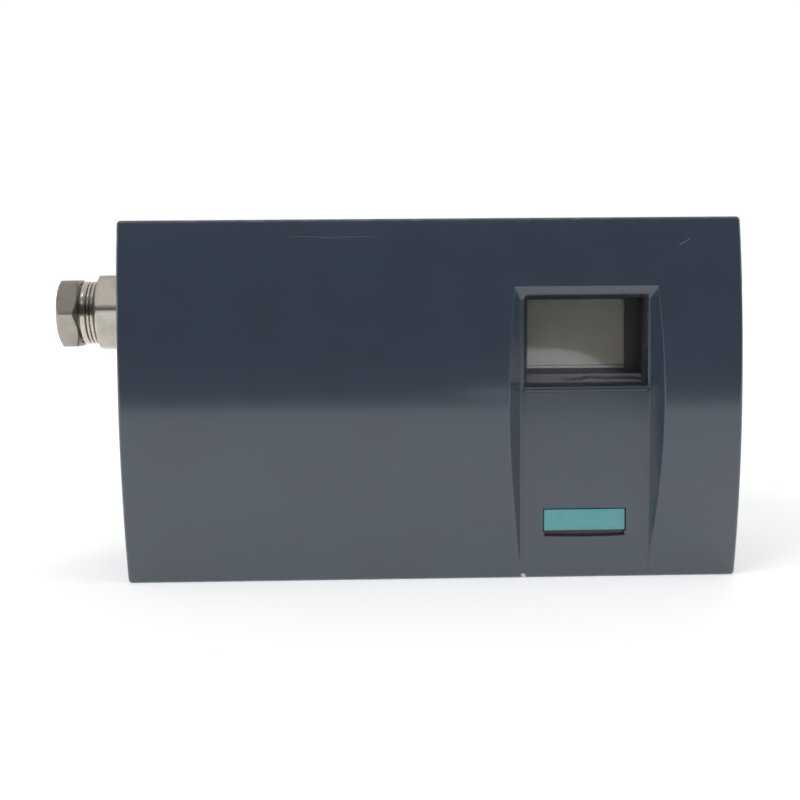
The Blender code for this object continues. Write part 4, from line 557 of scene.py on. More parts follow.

# %% [markdown]
# ## Making new pieces
# A new piece is a sheet or a closed skin: numpy works out all its points at once on a grid, and one
# helper turns the grid into a mesh. The same helper puts the piece on the right body, hides the
# measured piece it stands for and gives it that piece's finish.

# %% From grids of points to pieces
def grid_faces(rows, columns, start=0, wrap_rows=False, wrap_columns=False):
    """Four corners for each cell of a grid whose points are numbered row by row from start."""
    down = np.arange(rows if wrap_rows else rows - 1)
    across = np.arange(columns if wrap_columns else columns - 1)
    row, column = (index.ravel() for index in np.meshgrid(down, across, indexing="ij"))
    next_row, next_column = (row + 1) % rows, (column + 1) % columns
    here = np.stack([row * columns + column, row * columns + next_column,
                     next_row * columns + next_column, next_row * columns + column], axis=1)
    return here + start


def shaded(name, mesh, sharp_above):
    """An object for a mesh that is shaded smooth, but for edges sharper than an angle in degrees."""
    mesh.shade_smooth()
    mesh.set_sharp_from_angle(angle=math.radians(sharp_above))
    return in_scene(name, mesh)


def piece(name, points, faces, node, finish=None):
    """Make a mesh from points and quads, weld its seams and let it stand for a measured piece."""
    mesh = bpy.data.meshes.new(name)
    mesh.from_pydata(points.reshape(-1, 3).tolist(), [], faces.tolist())
    work = bmesh.new()
    work.from_mesh(mesh)
    bmesh.ops.remove_doubles(work, verts=work.verts, dist=2e-6)
    bmesh.ops.recalc_face_normals(work, faces=work.faces)
    work.to_mesh(mesh)
    work.free()
    made = shaded(name, mesh, 40.0)
    mesh.materials.append(FINISH[finish or SLOT_OF[node]])
    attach(made, BODY_OF[node])
    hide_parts(node)
    return made


def refined(node, edge, angle=32.0):
    """A copy of a measured piece with its triangles merged into flat faces and its sharp edges broken."""
    mesh = frame["nodes"][node].data.copy()
    work = bmesh.new()
    work.from_mesh(mesh)
    bmesh.ops.remove_doubles(work, verts=work.verts, dist=1e-6)
    bmesh.ops.dissolve_limit(work, angle_limit=math.radians(1.0), verts=work.verts, edges=work.edges)
    work.to_mesh(mesh)
    work.free()
    made = shaded(node + "_dressed", mesh, angle)
    bevel = made.modifiers.new("broken_edges", "BEVEL")
    bevel.width = edge
    bevel.segments = 2
    bevel.limit_method = "ANGLE"
    bevel.angle_limit = math.radians(angle)
    bevel.harden_normals = True
    bevel.use_clamp_overlap = True
    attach(made, BODY_OF[node])
    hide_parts(node)


print("helpers for grids and dressed copies are ready")

# %% [markdown]
# ## The lid
# The real lid is one moulding 3 mm thick. Its face is part of a cylinder, so light slides down it,
# and a pocket with sloping walls is sunk into its right half. The pocket's floor is flat, sinking a
# little at its foot, while the face curves away, so the pocket runs out near the bottom. A boolean
# would give hard, badly shaded edges there. Instead the face is a height field: at each point the
# lower of two surfaces wins, the arch or the pocket, and a soft minimum rounds the edge between.

# %% Sizes of the lid
HALF_WIDTH, HALF_HEIGHT = 92.5 * MM, 54.5 * MM
RIM, SIDE_EDGE, CROWN = 50.4 * MM, 77.0 * MM, 84.0 * MM
ARCH_RADIUS = (HALF_HEIGHT ** 2 + (CROWN - SIDE_EDGE) ** 2) / (2 * (CROWN - SIDE_EDGE))
ARCH_CENTRE = CROWN - ARCH_RADIUS
WALL = 3.0 * MM
CORNER = 1.2 * MM
POCKET_X, POCKET_HALF, TOP_FOOT = 46.0 * MM, 19.5 * MM, 30.7 * MM
POCKET_FLOOR = 78.7 * MM
SIDE_SLOPE, TOP_SLOPE = math.tan(math.radians(35.0)), 1.3
WINDOW = {"left": 27.6 * MM, "right": 65.2 * MM, "low": 3.9 * MM, "high": 31.9 * MM}
PLATE_HALF_WIDTH, PLATE_HALF_HEIGHT, PLATE_Z = 12.25 * MM, 3.22 * MM, -36.4 * MM
SLOT_HALF_WIDTH, SLOT_LOW, SLOT_HIGH, SLOT_SAG = 12.1 * MM, -41.3 * MM, -39.3 * MM, 0.3 * MM
SINK_FROM, SINK_TO, SINK = -25 * MM, -52 * MM, 1.1 * MM
WINDOW_CORNER = 0.8 * MM
SEAT_GAP, SEAT_DEPTH, SLOT_DEPTH = 0.3 * MM, 1.4 * MM, 1.9 * MM
SILL_X, SILL_HALF_WIDTH = 46.4 * MM, 18.8 * MM
SILL_Z, SILL_HALF_HEIGHT, SILL_RISE = 3.1 * MM, 0.4 * MM, 0.5 * MM
PAD_HALF_WIDTH, PAD_LOW, PAD_HIGH = 25.5 * MM, -47.0 * MM, 38.6 * MM
print("the arch has a radius of", round(ARCH_RADIUS / MM, 1), "mm")


# %% Shapes of the lid's face
def soft_min(a, b, width):
    """The smaller of two values, blended over a width where they are close."""
    closeness = np.maximum(width - np.abs(a - b), 0.0) / width
    return np.minimum(a, b) - closeness ** 2 * width / 4


def arch(z, inset=0.0):
    """Depth of the arch at a height: a circle about a line far behind the lid."""
    return ARCH_CENTRE + np.sqrt((ARCH_RADIUS - inset) ** 2 - z ** 2)


def outside_box(x, z, half_x, low, high, radius):
    """Distance to a rounded rectangle about the pocket's middle: negative inside, positive outside."""
    across = np.abs(x - POCKET_X) - half_x + radius
    upright = np.abs(z - (low + high) / 2) - (high - low) / 2 + radius
    beyond = np.hypot(np.maximum(across, 0.0), np.maximum(upright, 0.0))
    return beyond + np.minimum(np.maximum(across, upright), 0.0) - radius


def step_in(distance, blend=0.06 * MM):
    """1 inside a shape and 0 outside it, over a thin blend."""
    return np.clip(0.5 - distance / blend, 0.0, 1.0)


def sunk(z):
    """How far the pocket's floor has sunk at a height: the square of the share of the way to its foot."""
    return SINK * np.clip((z - SINK_FROM) / (SINK_TO - SINK_FROM), 0.0, 1.1) ** 2


def outer_depth(x, z):
    """The face: arch, sloping pocket, the plate's seat, the slot under it and the sill under the window."""
    sides, top = (np.abs(x - POCKET_X) - POCKET_HALF) / SIDE_SLOPE, (z - TOP_FOOT) / TOP_SLOPE
    walls = np.maximum(sides, top)
    ground = POCKET_FLOOR - sunk(z)
    slope = -soft_min(-(ground + walls), -ground, 0.25 * MM)
    depth = soft_min(arch(z), slope, 0.36 * MM)
    seat = outside_box(x, z, PLATE_HALF_WIDTH + SEAT_GAP, PLATE_Z - PLATE_HALF_HEIGHT - SEAT_GAP,
                       PLATE_Z + PLATE_HALF_HEIGHT + SEAT_GAP, 0.1 * MM)
    share = np.clip((x - POCKET_X) / SLOT_HALF_WIDTH, -1.0, 1.0)
    sag = SLOT_SAG * (1 - share ** 2)
    sagging = z + sag * (z < SLOT_HIGH - 1 * MM)
    slot = outside_box(x, sagging, SLOT_HALF_WIDTH, SLOT_LOW, SLOT_HIGH, 0.2 * MM)
    depth = depth - SEAT_DEPTH * step_in(seat) * (1 - step_in(slot))
    depth = depth - SLOT_DEPTH * step_in(slot)
    sill = np.maximum(np.abs(x - SILL_X) - SILL_HALF_WIDTH, np.abs(z - SILL_Z) - SILL_HALF_HEIGHT)
    rise = np.clip(-sill / (0.25 * MM) + 0.3, 0.0, 1.0)
    return depth + SILL_RISE * np.sqrt(rise)


def inner_depth(x, z):
    """The back of the face: the same arch set in, with a flat pad behind the pocket."""
    pad = outside_box(x, z, PAD_HALF_WIDTH, PAD_LOW, PAD_HIGH, 1.0 * MM)
    backed = (POCKET_FLOOR - WALL) + np.maximum(pad, 0.0) * 4.0
    return soft_min(arch(z, WALL), backed, 0.4 * MM)


# %% Lines of the lid's grid
def lines(*stretches):
    """Grid lines from (start, end, step) stretches, in millimetres, as metres, each line once."""
    parts = [np.linspace(start, end, max(2, int(round(abs(end - start) / step)) + 1))
             for start, end, step in stretches]
    return np.unique(np.round(np.concatenate(parts), 4)) * MM


deepest = (CROWN - POCKET_FLOOR) * SIDE_SLOPE
left_lip = (POCKET_X - POCKET_HALF - deepest) / MM
right_lip = (POCKET_X + POCKET_HALF + deepest) / MM
columns = lines((-91.3, 15, 4.0), (15, left_lip - 0.6, 1.2), (left_lip - 0.6, left_lip + 0.6, 0.1),
                (left_lip + 0.6, 26.1, 0.45), (26.1, 26.8, 0.1), (26.8, 27.6, 0.27), (27.6, 28.4, 0.27),
                (28.4, 33.3, 0.8), (33.3, 34.0, 0.05), (34.0, 58.0, 0.6), (58.0, 58.7, 0.05),
                (58.7, 64.4, 0.8), (64.4, 65.2, 0.27), (65.2, 65.9, 0.1), (65.9, right_lip - 0.6, 0.45),
                (right_lip - 0.6, right_lip + 0.6, 0.1), (right_lip + 0.6, 76, 1.0), (76, 91.3, 2.6))
top_row = (HALF_HEIGHT - CORNER + CORNER * HALF_HEIGHT / ARCH_RADIUS) / MM
rows = lines((-top_row, -49, 0.9), (-49, -46, 0.2), (-46, -42.6, 0.8), (-42.6, -41.8, 0.2),
             (-41.8, -41.0, 0.06), (-41.0, -40.1, 0.3), (-40.1, -39.2, 0.06), (-39.2, -33.1, 1.0),
             (-33.1, -32.6, 0.05), (-32.6, 2.2, 1.6), (2.2, 2.5, 0.15), (2.5, 3.9, 0.1), (3.9, 4.7, 0.27),
             (4.7, 30.4, 2.0), (30.4, 31.1, 0.1), (31.1, 31.9, 0.27), (31.9, 33.6, 0.2),
             (33.6, 34.8, 0.08), (34.8, 36.5, 0.4), (36.5, top_row, 1.8))
print("grid of the lid's face:", len(columns), "by", len(rows))


# %% Points of the lid's face
def follow_pocket(x, z):
    """Lean the columns so that they run along the pocket's edges, which close in towards the bottom."""
    width = np.clip((arch(z) - POCKET_FLOOR + sunk(z)) * SIDE_SLOPE, 0.2 * MM, None)
    narrower = deepest - width
    left = np.interp(x, np.array([15.0, left_lip, 26.5]) * MM, [0.0, 1.0, 0.0])
    right = np.interp(x, np.array([65.5, right_lip, 76.0]) * MM, [0.0, 1.0, 0.0])
    return x + (left - right) * narrower


def round_window(x, z, radius=WINDOW_CORNER):
    """Pull the grid points near each corner of the window onto a quarter circle."""
    for corner_x, side_x in ((WINDOW["left"], 1), (WINDOW["right"], -1)):
        for corner_z, side_z in ((WINDOW["low"], 1), (WINDOW["high"], -1)):
            along_x, along_z = (x - corner_x) * side_x, (z - corner_z) * side_z
            tiny = 1e-7
            on_flat = (np.abs(along_z) < tiny) & (along_x > -tiny) & (along_x < radius)
            on_side = (np.abs(along_x) < tiny) & (along_z > tiny) & (along_z < radius)
            turn = np.where(on_flat, 1 - along_x / radius, 1 - along_z / radius) * math.pi / 4
            near, away = radius * (1 - np.sin(turn)), radius * (1 - np.cos(turn))
            x = np.where(on_flat, corner_x + side_x * near, np.where(on_side, corner_x + side_x * away, x))
            z = np.where(on_flat, corner_z + side_z * away, np.where(on_side, corner_z + side_z * near, z))
    return x, z


face_x, face_z = np.meshgrid(columns, rows)
face_x = follow_pocket(face_x, face_z)
face_x, face_z = round_window(face_x, face_z)
outer = np.stack([face_x, -outer_depth(face_x, face_z), face_z], axis=-1)


# %% Walls, rim and back of the lid
def drawn_in(values, reach, still, inside):
    """Values up to still stay as they are, and those beyond it are drawn in, from reach to inside."""
    return np.interp(values, [-reach, -still, still, reach], [-inside, -still, still, inside])


def inner_place(x, z):
    """Where a point of the face's grid lies on the back of the face, inside the walls."""
    return (drawn_in(x, columns[-1], 80 * MM, HALF_WIDTH - WALL),
            drawn_in(z, rows[-1], 48 * MM, HALF_HEIGHT - WALL))


def border(grid, fan=4):
    """The border of a grid counterclockwise, with its outward directions, turned in steps at each corner."""
    sides = [grid[0], grid[:, -1], grid[-1, ::-1], grid[::-1, 0]]
    points, outward = [], []
    for side, start in zip(sides, (-90.0, 0.0, 90.0, 180.0)):
        angles = np.concatenate([np.full(len(side), start), start + 90.0 * np.arange(1, fan) / fan])
        points.append(np.concatenate([side, np.repeat(side[-1:], fan - 1, axis=0)]))
        outward.append(np.radians(angles))
    angles = np.concatenate(outward)
    return np.concatenate(points), np.stack([np.cos(angles), 0 * angles, np.sin(angles)], axis=-1)


def rounded_band(points, outward, radius, steps=6):
    """Roll from the face's own direction to the outward one about a centre one radius under the face."""
    lean = points[:, 2] / ARCH_RADIUS
    face_way = np.stack([0 * lean, -np.sqrt(1 - lean ** 2), lean], axis=-1)
    angle = np.arccos((face_way * outward).sum(axis=-1, keepdims=True))
    centre = points - radius * face_way
    rings = []
    for share in np.linspace(0.0, 1.0, steps + 1):
        way = (np.sin((1 - share) * angle) * face_way + np.sin(share * angle) * outward) / np.sin(angle)
        rings.append(centre + radius * way)
    return rings


inner_x, inner_z = inner_place(face_x, face_z)
inner = np.stack([inner_x, -inner_depth(inner_x, inner_z), inner_z], axis=-1)
edge_points, edge_outward = border(outer)
back_x, back_z = inner_place(edge_points[:, 0], edge_points[:, 2])
rings = rounded_band(edge_points, edge_outward, CORNER)
side = rings[-1]
BREAK = 0.3 * MM


def at_depth(ring, depth, inward=0.0):
    """A ring moved to one depth and drawn inward."""
    moved = ring - inward * edge_outward
    moved[:, 1] = -depth
    return moved


rings += [at_depth(side, RIM + BREAK), at_depth(side, RIM, BREAK)]
rings += [np.stack([back_x, np.full_like(back_x, -RIM), back_z], axis=-1),
          np.stack([back_x, -inner_depth(back_x, back_z), back_z], axis=-1)]
shell_edge = np.stack(rings)
print("rings round the lid's edge:", shell_edge.shape[:2])


# %% The window's hole
def lines_between(values, low, high):
    """First and last index of the grid lines from low to high."""
    found = np.flatnonzero((values > low - 1e-6) & (values < high + 1e-6))
    return found[0], found[-1]


first_column, last_column = lines_between(columns, WINDOW["left"], WINDOW["right"])
first_row, last_row = lines_between(rows, WINDOW["low"], WINDOW["high"])


def hole_ring(grid):
    """The points of a grid round the window's hole, counterclockwise."""
    block = grid[first_row:last_row + 1, first_column:last_column + 1]
    return np.concatenate([block[0, :-1], block[:-1, -1], block[-1, :0:-1], block[:0:-1, 0]])


def shrunk(ring, inward, backward):
    """A ring drawn in towards the middle of the window and moved to the rear."""
    middle = ring.mean(axis=0)
    half = np.abs(ring - middle).max(axis=0)
    scale = 1 - inward / np.array([half[0], 1.0, half[2]])
    moved = middle + (ring - middle) * scale
    moved[:, 1] = ring[:, 1] + backward
    return moved


HOLE_BREAK = 0.2 * MM
front_ring, rear_ring = hole_ring(outer), hole_ring(inner)
hole_rings = np.stack([front_ring, shrunk(front_ring, HOLE_BREAK, HOLE_BREAK),
                       shrunk(rear_ring, HOLE_BREAK, 0.0), rear_ring])


def sheet_cells(start):
    """The cells of the face's grid outside the window's hole."""
    cells = grid_faces(len(rows), len(columns), start)
    row, column = np.divmod(cells[:, 0] - start, len(columns))
    inside = (row >= first_row) & (row < last_row) & (column >= first_column) & (column < last_column)
    return cells[~inside]


def joined(*patches):
    """Join patches of (points, faces numbered from 0) into one set of points and faces."""
    points, faces, start = [], [], 0
    for patch_points, patch_faces in patches:
        flat = patch_points.reshape(-1, 3)
        points.append(flat)
        faces.append(patch_faces + start)
        start += len(flat)
    return np.concatenate(points), np.concatenate(faces)


def ringed(rings, closed=False):
    """A skin over rings of points, joined round, and from the last ring to the first if it is closed."""
    return rings, grid_faces(rings.shape[0], rings.shape[1], wrap_rows=closed, wrap_columns=True)


def boss(x, z, radius=6.2 * MM, bore=2.3 * MM, steps=32):
    """A tube from the rim to the face that takes a lid screw."""
    turn = 2 * math.pi * np.arange(steps) / steps
    top = arch(z, WALL / 2)
    profile = [(bore, RIM), (radius, RIM), (radius, top), (bore, top)]
    tube = [np.stack([x + r * np.cos(turn), np.full(steps, -d), z + r * np.sin(turn)], axis=-1)
            for r, d in profile]
    return ringed(np.stack(tube), closed=True)


BOSS_X, BOSS_Z = 84 * MM, 46 * MM
bosses = [boss(x, z) for x in (-BOSS_X, BOSS_X) for z in (-BOSS_Z, BOSS_Z)]
lid_points, lid_faces = joined((outer, sheet_cells(0)), (inner, sheet_cells(0)), ringed(shell_edge),
                               ringed(hole_rings), *bosses)
lid = piece("lid", lid_points, lid_faces, "cover_shell", finish="slate_lid")
weighted = lid.modifiers.new("flat_sides", "WEIGHTED_NORMAL")
weighted.keep_sharp = True
print("lid:", len(lid.data.polygons), "faces")

# %% [markdown]
# ## The teal plate
# A thin enamelled plate lies in its seat over the slot, and it is bare. Its edges are rolled over by
# a fifth of a millimetre, which draws a fine light line round it.

# %% Plate in its seat
PLATE_FRONT, PLATE_THICKNESS, PLATE_ROLL = 78.4 * MM, 0.8 * MM, 0.2 * MM
PER_SIDE = 5


def plate_ring(inset, depth):
    """The plate's outline drawn in by an inset, at a depth."""
    half_x, half_z = PLATE_HALF_WIDTH - inset, PLATE_HALF_HEIGHT - inset
    share, whole = np.linspace(-1, 1, PER_SIDE + 1)[:-1], np.ones(PER_SIDE)
    x = np.concatenate([share, whole, -share, -whole]) * half_x + POCKET_X
    z = np.concatenate([-whole, share, whole, -share]) * half_z + PLATE_Z
    return np.stack([x, np.full_like(x, -depth), z], axis=-1)


def plate_middle(depth):
    """The outline shrunk to the plate's middle, which closes its face or its back."""
    return np.broadcast_to((POCKET_X, -depth, PLATE_Z), (4 * PER_SIDE, 3))


EASED = 0.06 * MM
plate_rings = np.stack([
    plate_middle(PLATE_FRONT), plate_ring(PLATE_ROLL, PLATE_FRONT), plate_ring(EASED, PLATE_FRONT - EASED),
    plate_ring(0.0, PLATE_FRONT - PLATE_ROLL), plate_ring(0.0, PLATE_FRONT - PLATE_THICKNESS),
    plate_middle(PLATE_FRONT - PLATE_THICKNESS)])
piece("teal_plate", *ringed(plate_rings), "name_plate")
print("plate, mm:", round(2 * PLATE_HALF_WIDTH / MM, 1), "by", round(2 * PLATE_HALF_HEIGHT / MM, 1))

# %% [markdown]
# ## Pieces that are turned or spanner-shaped
# Nuts, screws, bushes and knobs are all rows of rings along an axis. A ring is a circle or a hexagon,
# so one helper takes rows of (radius, height), where a radius is a number or one value per angle. The
# corner of a real nut is cut by a cone: the radius is the smaller of the hexagon's and the cone's,
# which draws the curved arcs on the flats by itself.

# %% Rows of rings along an axis
LEFT = np.array([(0, -1, 0), (0, 0, 1), (-1, 0, 0)], float)
RIGHT = np.array([(0, 1, 0), (0, 0, 1), (1, 0, 0)], float)
FRONT = np.array([(1, 0, 0), (0, 0, 1), (0, -1, 0)], float)
REAR = np.array([(1, 0, 0), (0, 0, -1), (0, 1, 0)], float)
STEPS = 96
TURN = 2 * math.pi * np.arange(STEPS) / STEPS


def hexagon(flats, turn=TURN, sharpness=70.0):
    """Radius of a hexagon with slightly rounded corners, one of them at angle 0."""
    facing = np.cos(turn[:, None] - np.radians(30.0 + 60.0 * np.arange(6)))
    return flats / 2 / (np.maximum(facing, 0.0) ** sharpness).sum(axis=1) ** (1 / sharpness)


def in_mm(rows_of_rings):
    """Rows of (radius, height) written in millimetres, as metres."""
    return [(radius * MM, height * MM) for radius, height in rows_of_rings]


def along(centre, way, rows_of_rings):
    """Points of rings about an axis: a row is (radius, height), and way gives the piece's own x, y and z."""
    rings = []
    for radius, height in rows_of_rings:
        across = np.asarray(radius) * np.cos(TURN)
        upright = np.asarray(radius) * np.sin(TURN)
        rings.append(np.array(centre) + np.outer(across, way[0]) + np.outer(upright, way[1])
                     + np.asarray(height)[..., None] * way[2])
    return ringed(np.stack(rings), closed=True)


def spun(name, node, centre, way, rows_of_rings, finish=None):
    """A turned piece that stands for a measured one."""
    points, faces = joined(along(centre, way, rows_of_rings))
    return piece(name, points, faces, node, finish)


CONE_RISE = math.tan(math.radians(60.0))


def rounded_hex(flats, low, high, rows_count=40):
    """Rows of a hexagon whose corners are cut by a cone at both ends."""
    heights = np.linspace(0, 1, rows_count)
    heights = low + (high - low) * (heights - np.sin(2 * math.pi * heights) / (2 * math.pi) * 0.75)
    rows_of_rings = []
    for height in heights:
        cone = flats / 2 * 0.96 + min(height - low, high - height) * CONE_RISE
        radius = hexagon(flats)
        if cone < flats:
            radius = soft_min(radius, np.full_like(radius, cone), 0.12 * MM)
        rows_of_rings.append((radius, height))
    return rows_of_rings


print("rings have", STEPS, "points")

# %% [markdown]
# ## The cable gland
# A cable passes through three parts: a body screwed into the wall, a rubber insert, and a nut that
# squeezes it. Between body and nut a little of the thread shows. Its ridge climbs as it goes round,
# so the radius depends on the height and on the angle together.

# %% Gland body with its thread
GLAND = (-92.5 * MM, -20.5 * MM, 25.3 * MM)
THREAD_PITCH = 1.5 * MM


def thread(radius, depth, height, pitch=THREAD_PITCH):
    """Radius of a screw thread at a height: a rounded ridge that rises by a pitch in each turn."""
    wave = np.cos(2 * math.pi * height / pitch - TURN)
    return radius - depth * (0.5 - 0.5 * np.sign(wave) * np.abs(wave) ** 0.7)


def collar(radius, low, high, groove=9.3 * MM):
    """Rows of a rounded ring that stands on the neck between two grooves."""
    share = np.linspace(0.0, math.pi, 9)
    middle, half, top = (low + high) / 2, (high - low) / 2, min(0.45 * MM, (high - low) / 2)
    lift = np.sin(share) ** 0.6 * top
    spread = middle - half * np.sign(np.cos(share)) * np.abs(np.cos(share)) ** 0.5
    crest = [(radius - top + up, height) for up, height in zip(lift, spread)]
    return [(groove, low), *crest, (groove, high)]


HEX_TURN, HEX_CORNER = np.radians(7.4), 13.45 * MM
HEX_LOW, HEX_HIGH = 8.3, 18.1
LOW_RADIUS, HIGH_RADIUS, HIGH_RISE = 11.4 * MM, 10.4 * MM, 2.1
body_rows = in_mm([(6.8, -10.5), (9.7, -10.5)])
body_rows += [(thread(10.0 * MM, 0.7 * MM, h), h) for h in np.linspace(-10.2, -0.2, 60) * MM]
body_rows += in_mm([(9.5, 0.0), (9.5, 2.1), (11.3, 2.1), (11.6, 2.4), (11.6, 4.6), (11.2, 4.8), (11.2, 5.4),
                    (11.6, 5.6), (11.6, 8.0), (11.3, HEX_LOW)])
cut_corner = soft_min(hexagon(24 * MM, TURN - HEX_TURN), np.full(STEPS, HEX_CORNER), 0.15 * MM)
for height in np.linspace(HEX_LOW, HEX_HIGH, 41) * MM:
    near_end = min((height - HEX_LOW * MM) * CONE_RISE + LOW_RADIUS,
                   (HEX_HIGH * MM - height) * HIGH_RISE + HIGH_RADIUS)
    body_rows.append((soft_min(cut_corner, np.full(STEPS, near_end), 0.2 * MM), height))
body_rows += collar(10.6 * MM, 18.15 * MM, 19.2 * MM)
body_rows += collar(10.5 * MM, 19.5 * MM, 20.45 * MM)
body_rows += collar(10.6 * MM, 20.7 * MM, 22.75 * MM)
body_rows += [(thread(9.6 * MM, 0.75 * MM, h), h) for h in np.linspace(22.8, 26.8, 30) * MM]
body_rows += in_mm([(8.9, 27.0), (6.8, 27.0)])
gland_body = spun("gland_body_fine", "gland_body", GLAND, LEFT, body_rows)
print("gland body:", len(gland_body.data.polygons), "faces")

# %% Gland nut and its rubber
nut_rows = rounded_hex(22 * MM, 23.3 * MM, 30.3 * MM)
nut_rows += in_mm([(9.6, 30.3), (9.3, 30.15), (6.5, 30.15), (6.2, 29.9),
                   (6.2, 29.1), (9.9, 28.8), (9.9, 23.7), (10.2, 23.3)])
# the nut takes the darker copy of the nickel, which is painted shade
spun("gland_nut_fine", "gland_nut", GLAND, LEFT, nut_rows, finish="nickel_painted_shade")
lip_rows = in_mm([(6.5, 19.5), (6.5, 27.15), (9.4, 27.3), (9.6, 27.5), (9.6, 28.3), (9.4, 28.5), (5.2, 28.5),
                  (4.7, 28.2), (4.5, 27.7), (4.5, 19.9), (4.9, 19.5)])
spun("gland_seal_fine", "gland_seal", GLAND, LEFT, lip_rows)
print("rows of rings in the nut and its rubber:", len(nut_rows), "and", len(lip_rows))

# %% [markdown]
# ## The window's frame
# The pane is glued over a dark moulded frame. Its foot is a polished slope that leads the eye down to the
# display; the light it catches from above is a painted reflection in its colour, so it is a sheet of its own
# with its own painted colour and gloss.

# %% Frame behind the pane
FRAME_FRONT, FRAME_BACK, FRAME_WALL = 75.4 * MM, 68.4 * MM, 1.3 * MM
FLANGE, FLANGE_BACK, FRAME_BREAK = 2.2 * MM, 74.4 * MM, 0.2 * MM


def window_ring(inset, depth, corner_steps=6):
    """The window's outline drawn in by an inset, with round corners, at a depth."""
    radius = max(WINDOW_CORNER - inset, 0.2 * MM)
    turn = np.radians(np.linspace(0, 90, corner_steps))
    points = []
    left, right = WINDOW["left"] + inset, WINDOW["right"] - inset
    low, high = WINDOW["low"] + inset, WINDOW["high"] - inset
    for x, z, start in ((right, high, 0), (left, high, 90), (left, low, 180), (right, low, 270)):
        angle = turn + math.radians(start)
        middle_x = x - radius * np.sign(np.cos(angle.mean()))
        middle_z = z - radius * np.sign(np.sin(angle.mean()))
        points.append(np.stack([middle_x + radius * np.cos(angle), np.full(corner_steps, -depth),
                                middle_z + radius * np.sin(angle)], axis=-1))
    return np.concatenate(points)


FRAME_PROFILE = [(0.0, FRAME_BACK), (0.0, FLANGE_BACK), (-FLANGE, FLANGE_BACK), (-FLANGE, FRAME_FRONT),
                 (FRAME_WALL - FRAME_BREAK, FRAME_FRONT), (FRAME_WALL, FRAME_FRONT - FRAME_BREAK),
                 (FRAME_WALL, FRAME_BACK)]
frame_rings = [window_ring(inset, depth) for inset, depth in FRAME_PROFILE]
piece("window_frame_fine", *ringed(np.stack(frame_rings), closed=True), "window_frame")
LEDGE_GAP = 1.35 * MM
ledge_x = np.linspace(WINDOW["left"] + LEDGE_GAP, WINDOW["right"] - LEDGE_GAP, 12)
LEDGE = [(75.2, 4.9), (75.2, 5.25), (75.0, 5.4), (72.9, 7.3), (72.5, 7.5), (72.2, 7.5), (72.2, 4.9)]
ledge = np.array([[(x, -d * MM, z * MM) for d, z in LEDGE] for x in ledge_x])
ends = [np.broadcast_to(ledge[end].mean(axis=0), (1, len(LEDGE), 3)) for end in (0, -1)]
ledge = np.concatenate([ends[0], ledge, ends[1]])
ledge_cells = grid_faces(len(ledge), len(LEDGE), wrap_columns=True)
piece("window_ledge", ledge, ledge_cells, "window_frame", finish="ledge_painted_reflection")
print("frame and ledge stand for the measured frame")

# %% [markdown]
# ## Shaft and bush
# The feedback shaft turns in a bronze bush. Both are turned again with many more sides than the
# measured pieces have, so that they stay clear of each other at every angle. The shaft's flat is a
# chord: near the top its radius is the flat's height divided by the sine of the angle.

# %% Turned shaft and bush
SHAFT_X, SHAFT_RADIUS, SHAFT_END = -20 * MM, 4.0 * MM, 20.0 * MM
shaft_front = -np.array(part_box("feedback_shaft"))[:, 1].min()


def with_flat(radius, flat=3.0 * MM):
    """A round section with a flat on its upper side."""
    return np.minimum(radius, flat / np.maximum(np.sin(TURN), 1e-3))


SHAFT_CENTRE, AXIS_GAP = (SHAFT_X, 0, 0), 0.02 * MM
NECK = SHAFT_RADIUS - 0.5 * MM
shaft_rows = [(AXIS_GAP, -SHAFT_END), (with_flat(NECK), -SHAFT_END),
              (with_flat(SHAFT_RADIUS), 0.5 * MM - SHAFT_END), (with_flat(SHAFT_RADIUS), -6.05 * MM),
              (SHAFT_RADIUS, -6.0 * MM), (SHAFT_RADIUS, -1.6 * MM), (NECK, -1.6 * MM), (NECK, -0.15 * MM),
              (SHAFT_RADIUS, -0.15 * MM), (SHAFT_RADIUS, shaft_front - 0.4 * MM),
              (SHAFT_RADIUS - 0.4 * MM, shaft_front), (AXIS_GAP, shaft_front)]
spun("feedback_shaft_fine", "feedback_shaft", SHAFT_CENTRE, FRONT, shaft_rows)
bush_rows = in_mm([(7.0, 0.3), (7.0, 12.3), (9.2, 12.3), (9.2, 13.8), (4.35, 13.8), (4.1, 13.5), (4.1, 0.6),
                   (4.35, 0.3)])
spun("shaft_bush_fine", "shaft_bush", SHAFT_CENTRE, FRONT, bush_rows)
print("shaft reaches forward to, mm:", round(shaft_front / MM, 1))

# %% [markdown]
# ## Threads in the ports and inserts
# The three air ports and the four rear inserts are tapped. Inside each bore goes a thin sleeve whose
# inner radius is the thread, so light catches its turns.

# %% Tapped bores
def tapped(name, node, centre, way, bore, length, pitch, start):
    """A threaded sleeve in a bore: it begins at a start below the mouth and runs back for a length."""
    bore, length, pitch, start = (value * MM for value in (bore, length, pitch, start))
    heights = np.linspace(-start - length, -start, max(12, int(length / pitch) * 10))
    wall = bore - 0.03 * MM
    sleeve = [(thread(wall - 0.06 * MM, 0.62 * pitch * 0.8, h, pitch), h) for h in heights]
    sleeve += [(wall, -start), (wall, -start - length)]
    return spun(name, node, centre, way, sleeve)


def middle_of(node):
    """The middle of a measured piece's box."""
    return np.array(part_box(node)).mean(axis=0)


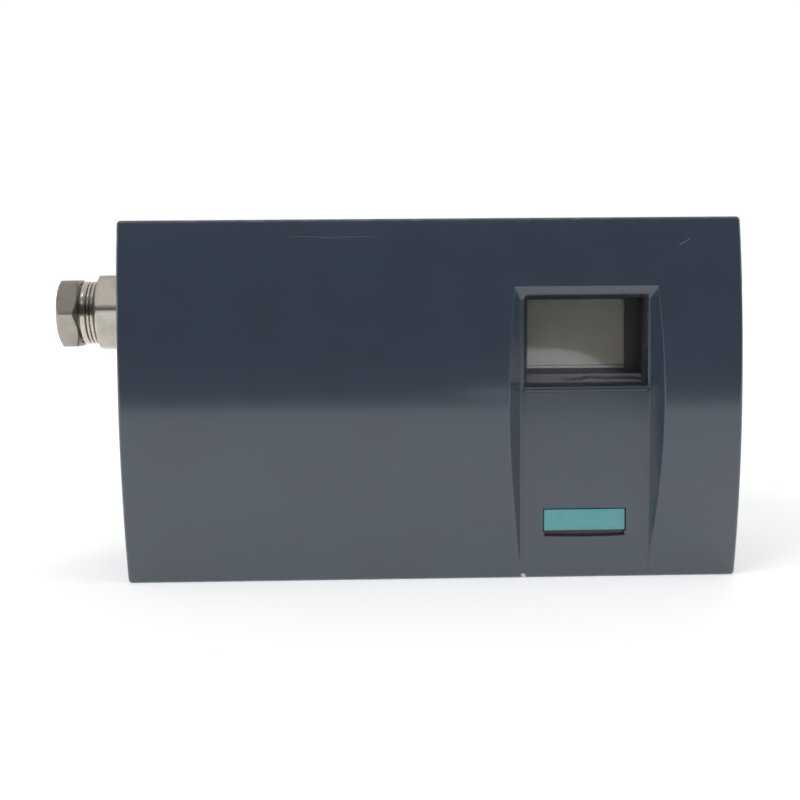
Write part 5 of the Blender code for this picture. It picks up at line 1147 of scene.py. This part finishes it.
PORT_ROWS, PORT_Y = (-28 * MM, 0.0, 28 * MM), -28 * MM
PORT_THREAD = {"bore": 5.9, "length": 10.5, "pitch": 0.94, "start": 1.5}
INSERT_THREAD = {"bore": 3.35, "length": 8.5, "pitch": 1.0, "start": 0.9}
for count, z in enumerate(PORT_ROWS, 1):
    tapped(f"port_thread_{count}", "pneumatic_block", (HALF_WIDTH, PORT_Y, z), RIGHT, **PORT_THREAD)
for count in range(1, 5):
    node = f"mounting_insert_{count}"
    x, _, z = middle_of(node)
    tapped(f"insert_thread_{count}", node, (x, 0.0, z), REAR, **INSERT_THREAD)
print("tapped bores:", len(PORT_ROWS) + 4)

# %% [markdown]
# ## Terminal screws
# Each of the twelve ways of the terminal blocks is clamped by a small slotted screw at the bottom of
# its well. The slot is cut into the head by height: a point near the slot's line lies lower.

# %% Slotted screws
WAYS, WAY_PITCH, HEAD_RADIUS, WELL_FLOOR = 6, 5.5 * MM, 1.4 * MM, 45.85 * MM


def slotted_head(slant):
    """Rows of a small domed head with a slot that lies at a slant."""
    top, slot_depth, slot_half = 1.3 * MM, 0.5 * MM, 0.22 * MM
    head = [(AXIS_GAP, 0.05 * MM), (HEAD_RADIUS, 0.05 * MM), (HEAD_RADIUS, top - 0.35 * MM)]
    for radius in np.linspace(HEAD_RADIUS - 0.1 * MM, AXIS_GAP, 9):
        away = np.abs(radius * np.sin(TURN - slant))
        dome = top - 0.25 * MM * (radius / HEAD_RADIUS) ** 2
        head.append((radius, dome - slot_depth * step_in(away - slot_half)))
    return head


for side_name in ("upper", "lower"):
    node = f"terminal_block_{side_name}"
    middle = middle_of(node)
    right_edge = np.array(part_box(node))[:, 0].max()
    for way in range(WAYS):
        z = middle[2] + (way - (WAYS - 1) / 2) * WAY_PITCH
        centre = ((middle[0] + right_edge) / 2, -WELL_FLOOR, z)
        name = f"terminal_screw_{side_name}_{way + 1}"
        spun(name, node, centre, FRONT, slotted_head(1.1 * way), finish="steel")
print("terminal screws:", 2 * WAYS)

# %% [markdown]
# ## Everything else, dressed
# The other pieces already have their real shape. What they lack is what a tool leaves behind: no real
# edge is knife sharp. A copy of each gets its loose triangles merged, and a narrow bevel on its edges.

# %% Dressed copies
DONE = {"cover_shell", "name_plate", "window_frame", "gland_body", "gland_nut", "gland_seal",
        "feedback_shaft", "shaft_bush"}
for node in sorted(set(frame["nodes"]) - DONE):
    refined(node, 0.25 * MM)
print("dressed copies:", len(frame["nodes"]) - len(DONE))

# %% Finish
bpy.context.scene.view_settings.view_transform = "Standard"
